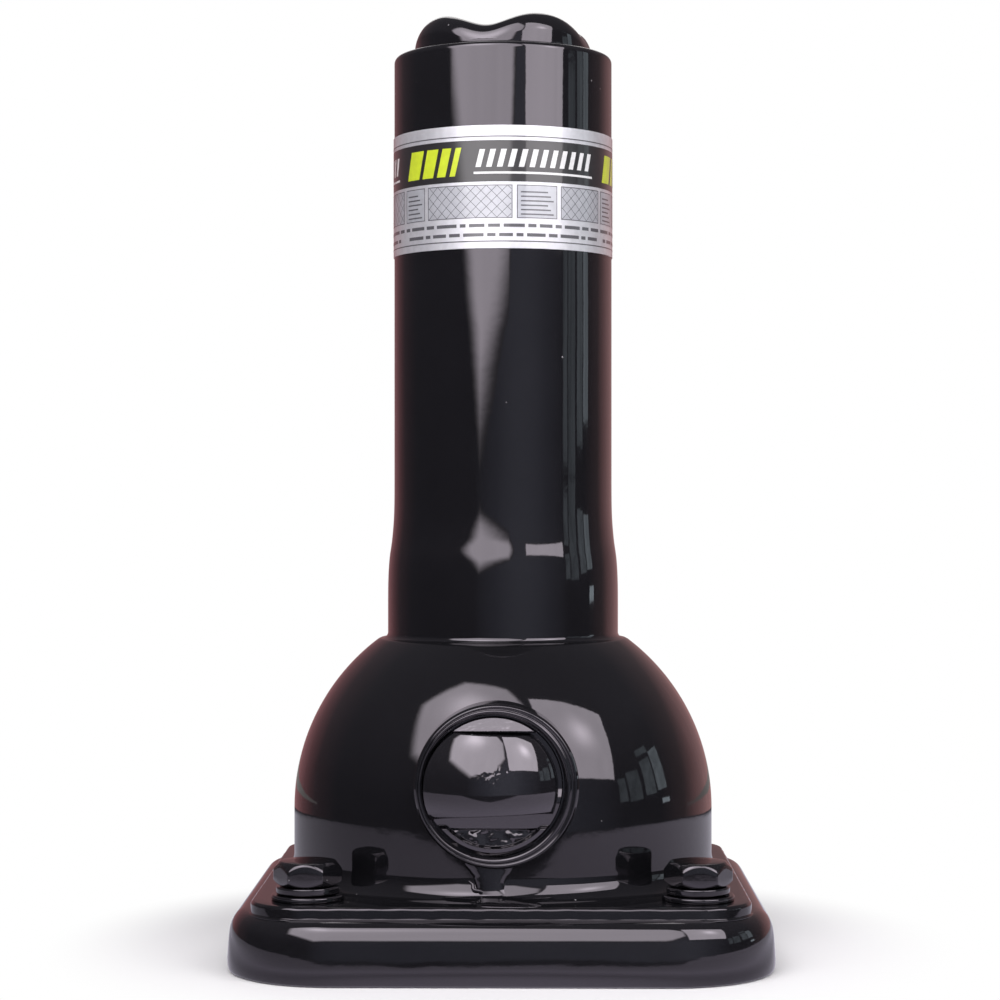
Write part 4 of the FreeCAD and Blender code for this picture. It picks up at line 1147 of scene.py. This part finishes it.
# Distance from the middle in metres, and colour there: painted light and shade, with a darker ring of painted shadow
# near the jack's foot
TABLE_SHADES = ((0.060, (0.70, 0.67, 0.78)), (0.068, (0.62, 0.59, 0.69)), (0.080, (0.38, 0.36, 0.42)),
                (0.105, (0.60, 0.57, 0.67)), (0.14, (0.49, 0.47, 0.54)), (0.18, (0.42, 0.40, 0.46)),
                (0.26, (0.43, 0.41, 0.47)))


def table():
    """Glowing stand-in for the grey table under the jack, seen only in reflections, with painted light and shade:
    shaded by distance from the jack and brighter towards +X.
    """
    material, tree, glow = emission_material("table_painted_glow")
    coords = tree.coords()
    split = tree.add("SeparateXYZ", {0: coords})
    shade = tree.ramp(tree.vector("LENGTH", coords), TABLE_SHADES)
    side = tree.math("ABSOLUTE", split.outputs["X"])
    front_edge = tree.line(side, -0.45, -TABLE_FRONT)
    front = tree.math("DIVIDE", split.outputs["Y"], front_edge)
    oval = tree.vector("LENGTH", tree.stretched(coords, (TABLE_R / TABLE_SIDE, 1.0, 1.0)))
    rim = tree.math("MAXIMUM", tree.math("DIVIDE", oval, TABLE_R), front)
    # Painted light: the table's glow grows brighter towards +X and fades to the room's dark past its rim
    tree.wire(glow, {"Color": tree.mix(tree.soft_step(rim, 1.04, 0.97), ROOM_DARK, shade),
                     "Strength": tree.line(split.outputs["X"], 1.2, 1.1)})
    rings = [[(wide * math.cos(t), deep * math.sin(t), 0.0) for t in turns(96)] for wide, deep in TABLE_RIMS]
    reflected_only(add_stage(new_mesh("table", *skin(rings), material), -0.0001))


FLOOR_R = 264.0
# Distances from the middle in metres, between which the floor turns white
FLOOR_FADE = (0.070, 0.108)


def floor():
    """Round white table whose far part fades to the white of the background."""
    material = bpy.data.materials.new("floor_white")
    tree = Tree(material, empty=True)
    far = tree.soft_step(tree.vector("LENGTH", tree.coords()), *FLOOR_FADE)
    tree.finish_mixed("OutputMaterial", tree.math("MULTIPLY", far, tree.seen_directly()),
                      tree.add("BsdfDiffuse", {"Color": (0.90, 0.90, 0.90)}), tree.add("Emission", {"Color": WHITE}))
    ring = [polar(FLOOR_R, t, 0.0) for t in turns(96)]
    add_stage(new_mesh("floor", ring, [tuple(range(len(ring)))], material), -0.0002)


def world():
    SCENE.world = bpy.data.worlds.new("studio")
    tree = Tree(SCENE.world, empty=True)
    tree.finish_mixed("OutputWorld", tree.seen_directly(),
                      tree.add("Background", {"Color": (0.25, 0.25, 0.26)}), tree.add("Background", {"Color": WHITE}))


CAMERA_AWAY = 0.6
CAMERA_Z = 0.1029
CAMERA_PAN = math.atan(3.0 / 2561.0)
LENS = 92.2
SENSOR = 36.0


def camera():
    data = bpy.data.cameras.new("camera")
    data.sensor_width = SENSOR
    data.sensor_height = SENSOR
    data.lens = LENS
    data.clip_start = 0.01
    data.clip_end = 50.0
    made = new_object(data)
    turn = math.radians(CAMERA_TURN)
    made.location = (CAMERA_AWAY * math.sin(turn), -CAMERA_AWAY * math.cos(turn), CAMERA_Z)
    made.rotation_euler = (math.pi / 2.0, 0.0, turn + CAMERA_PAN)
    SCENE.camera = made


column_tube()
gear_housing()
base_pan()
boss_ring()
end_plug()
paint_run()
paint_curl()
saddle()
fasteners()
screws()
label()
dress_solids()
octagon_softbox()
square_softbox()
windows()
back_softbox()
room()
table()
floor()
world()
camera()
SCENE.view_settings.view_transform = "Standard"
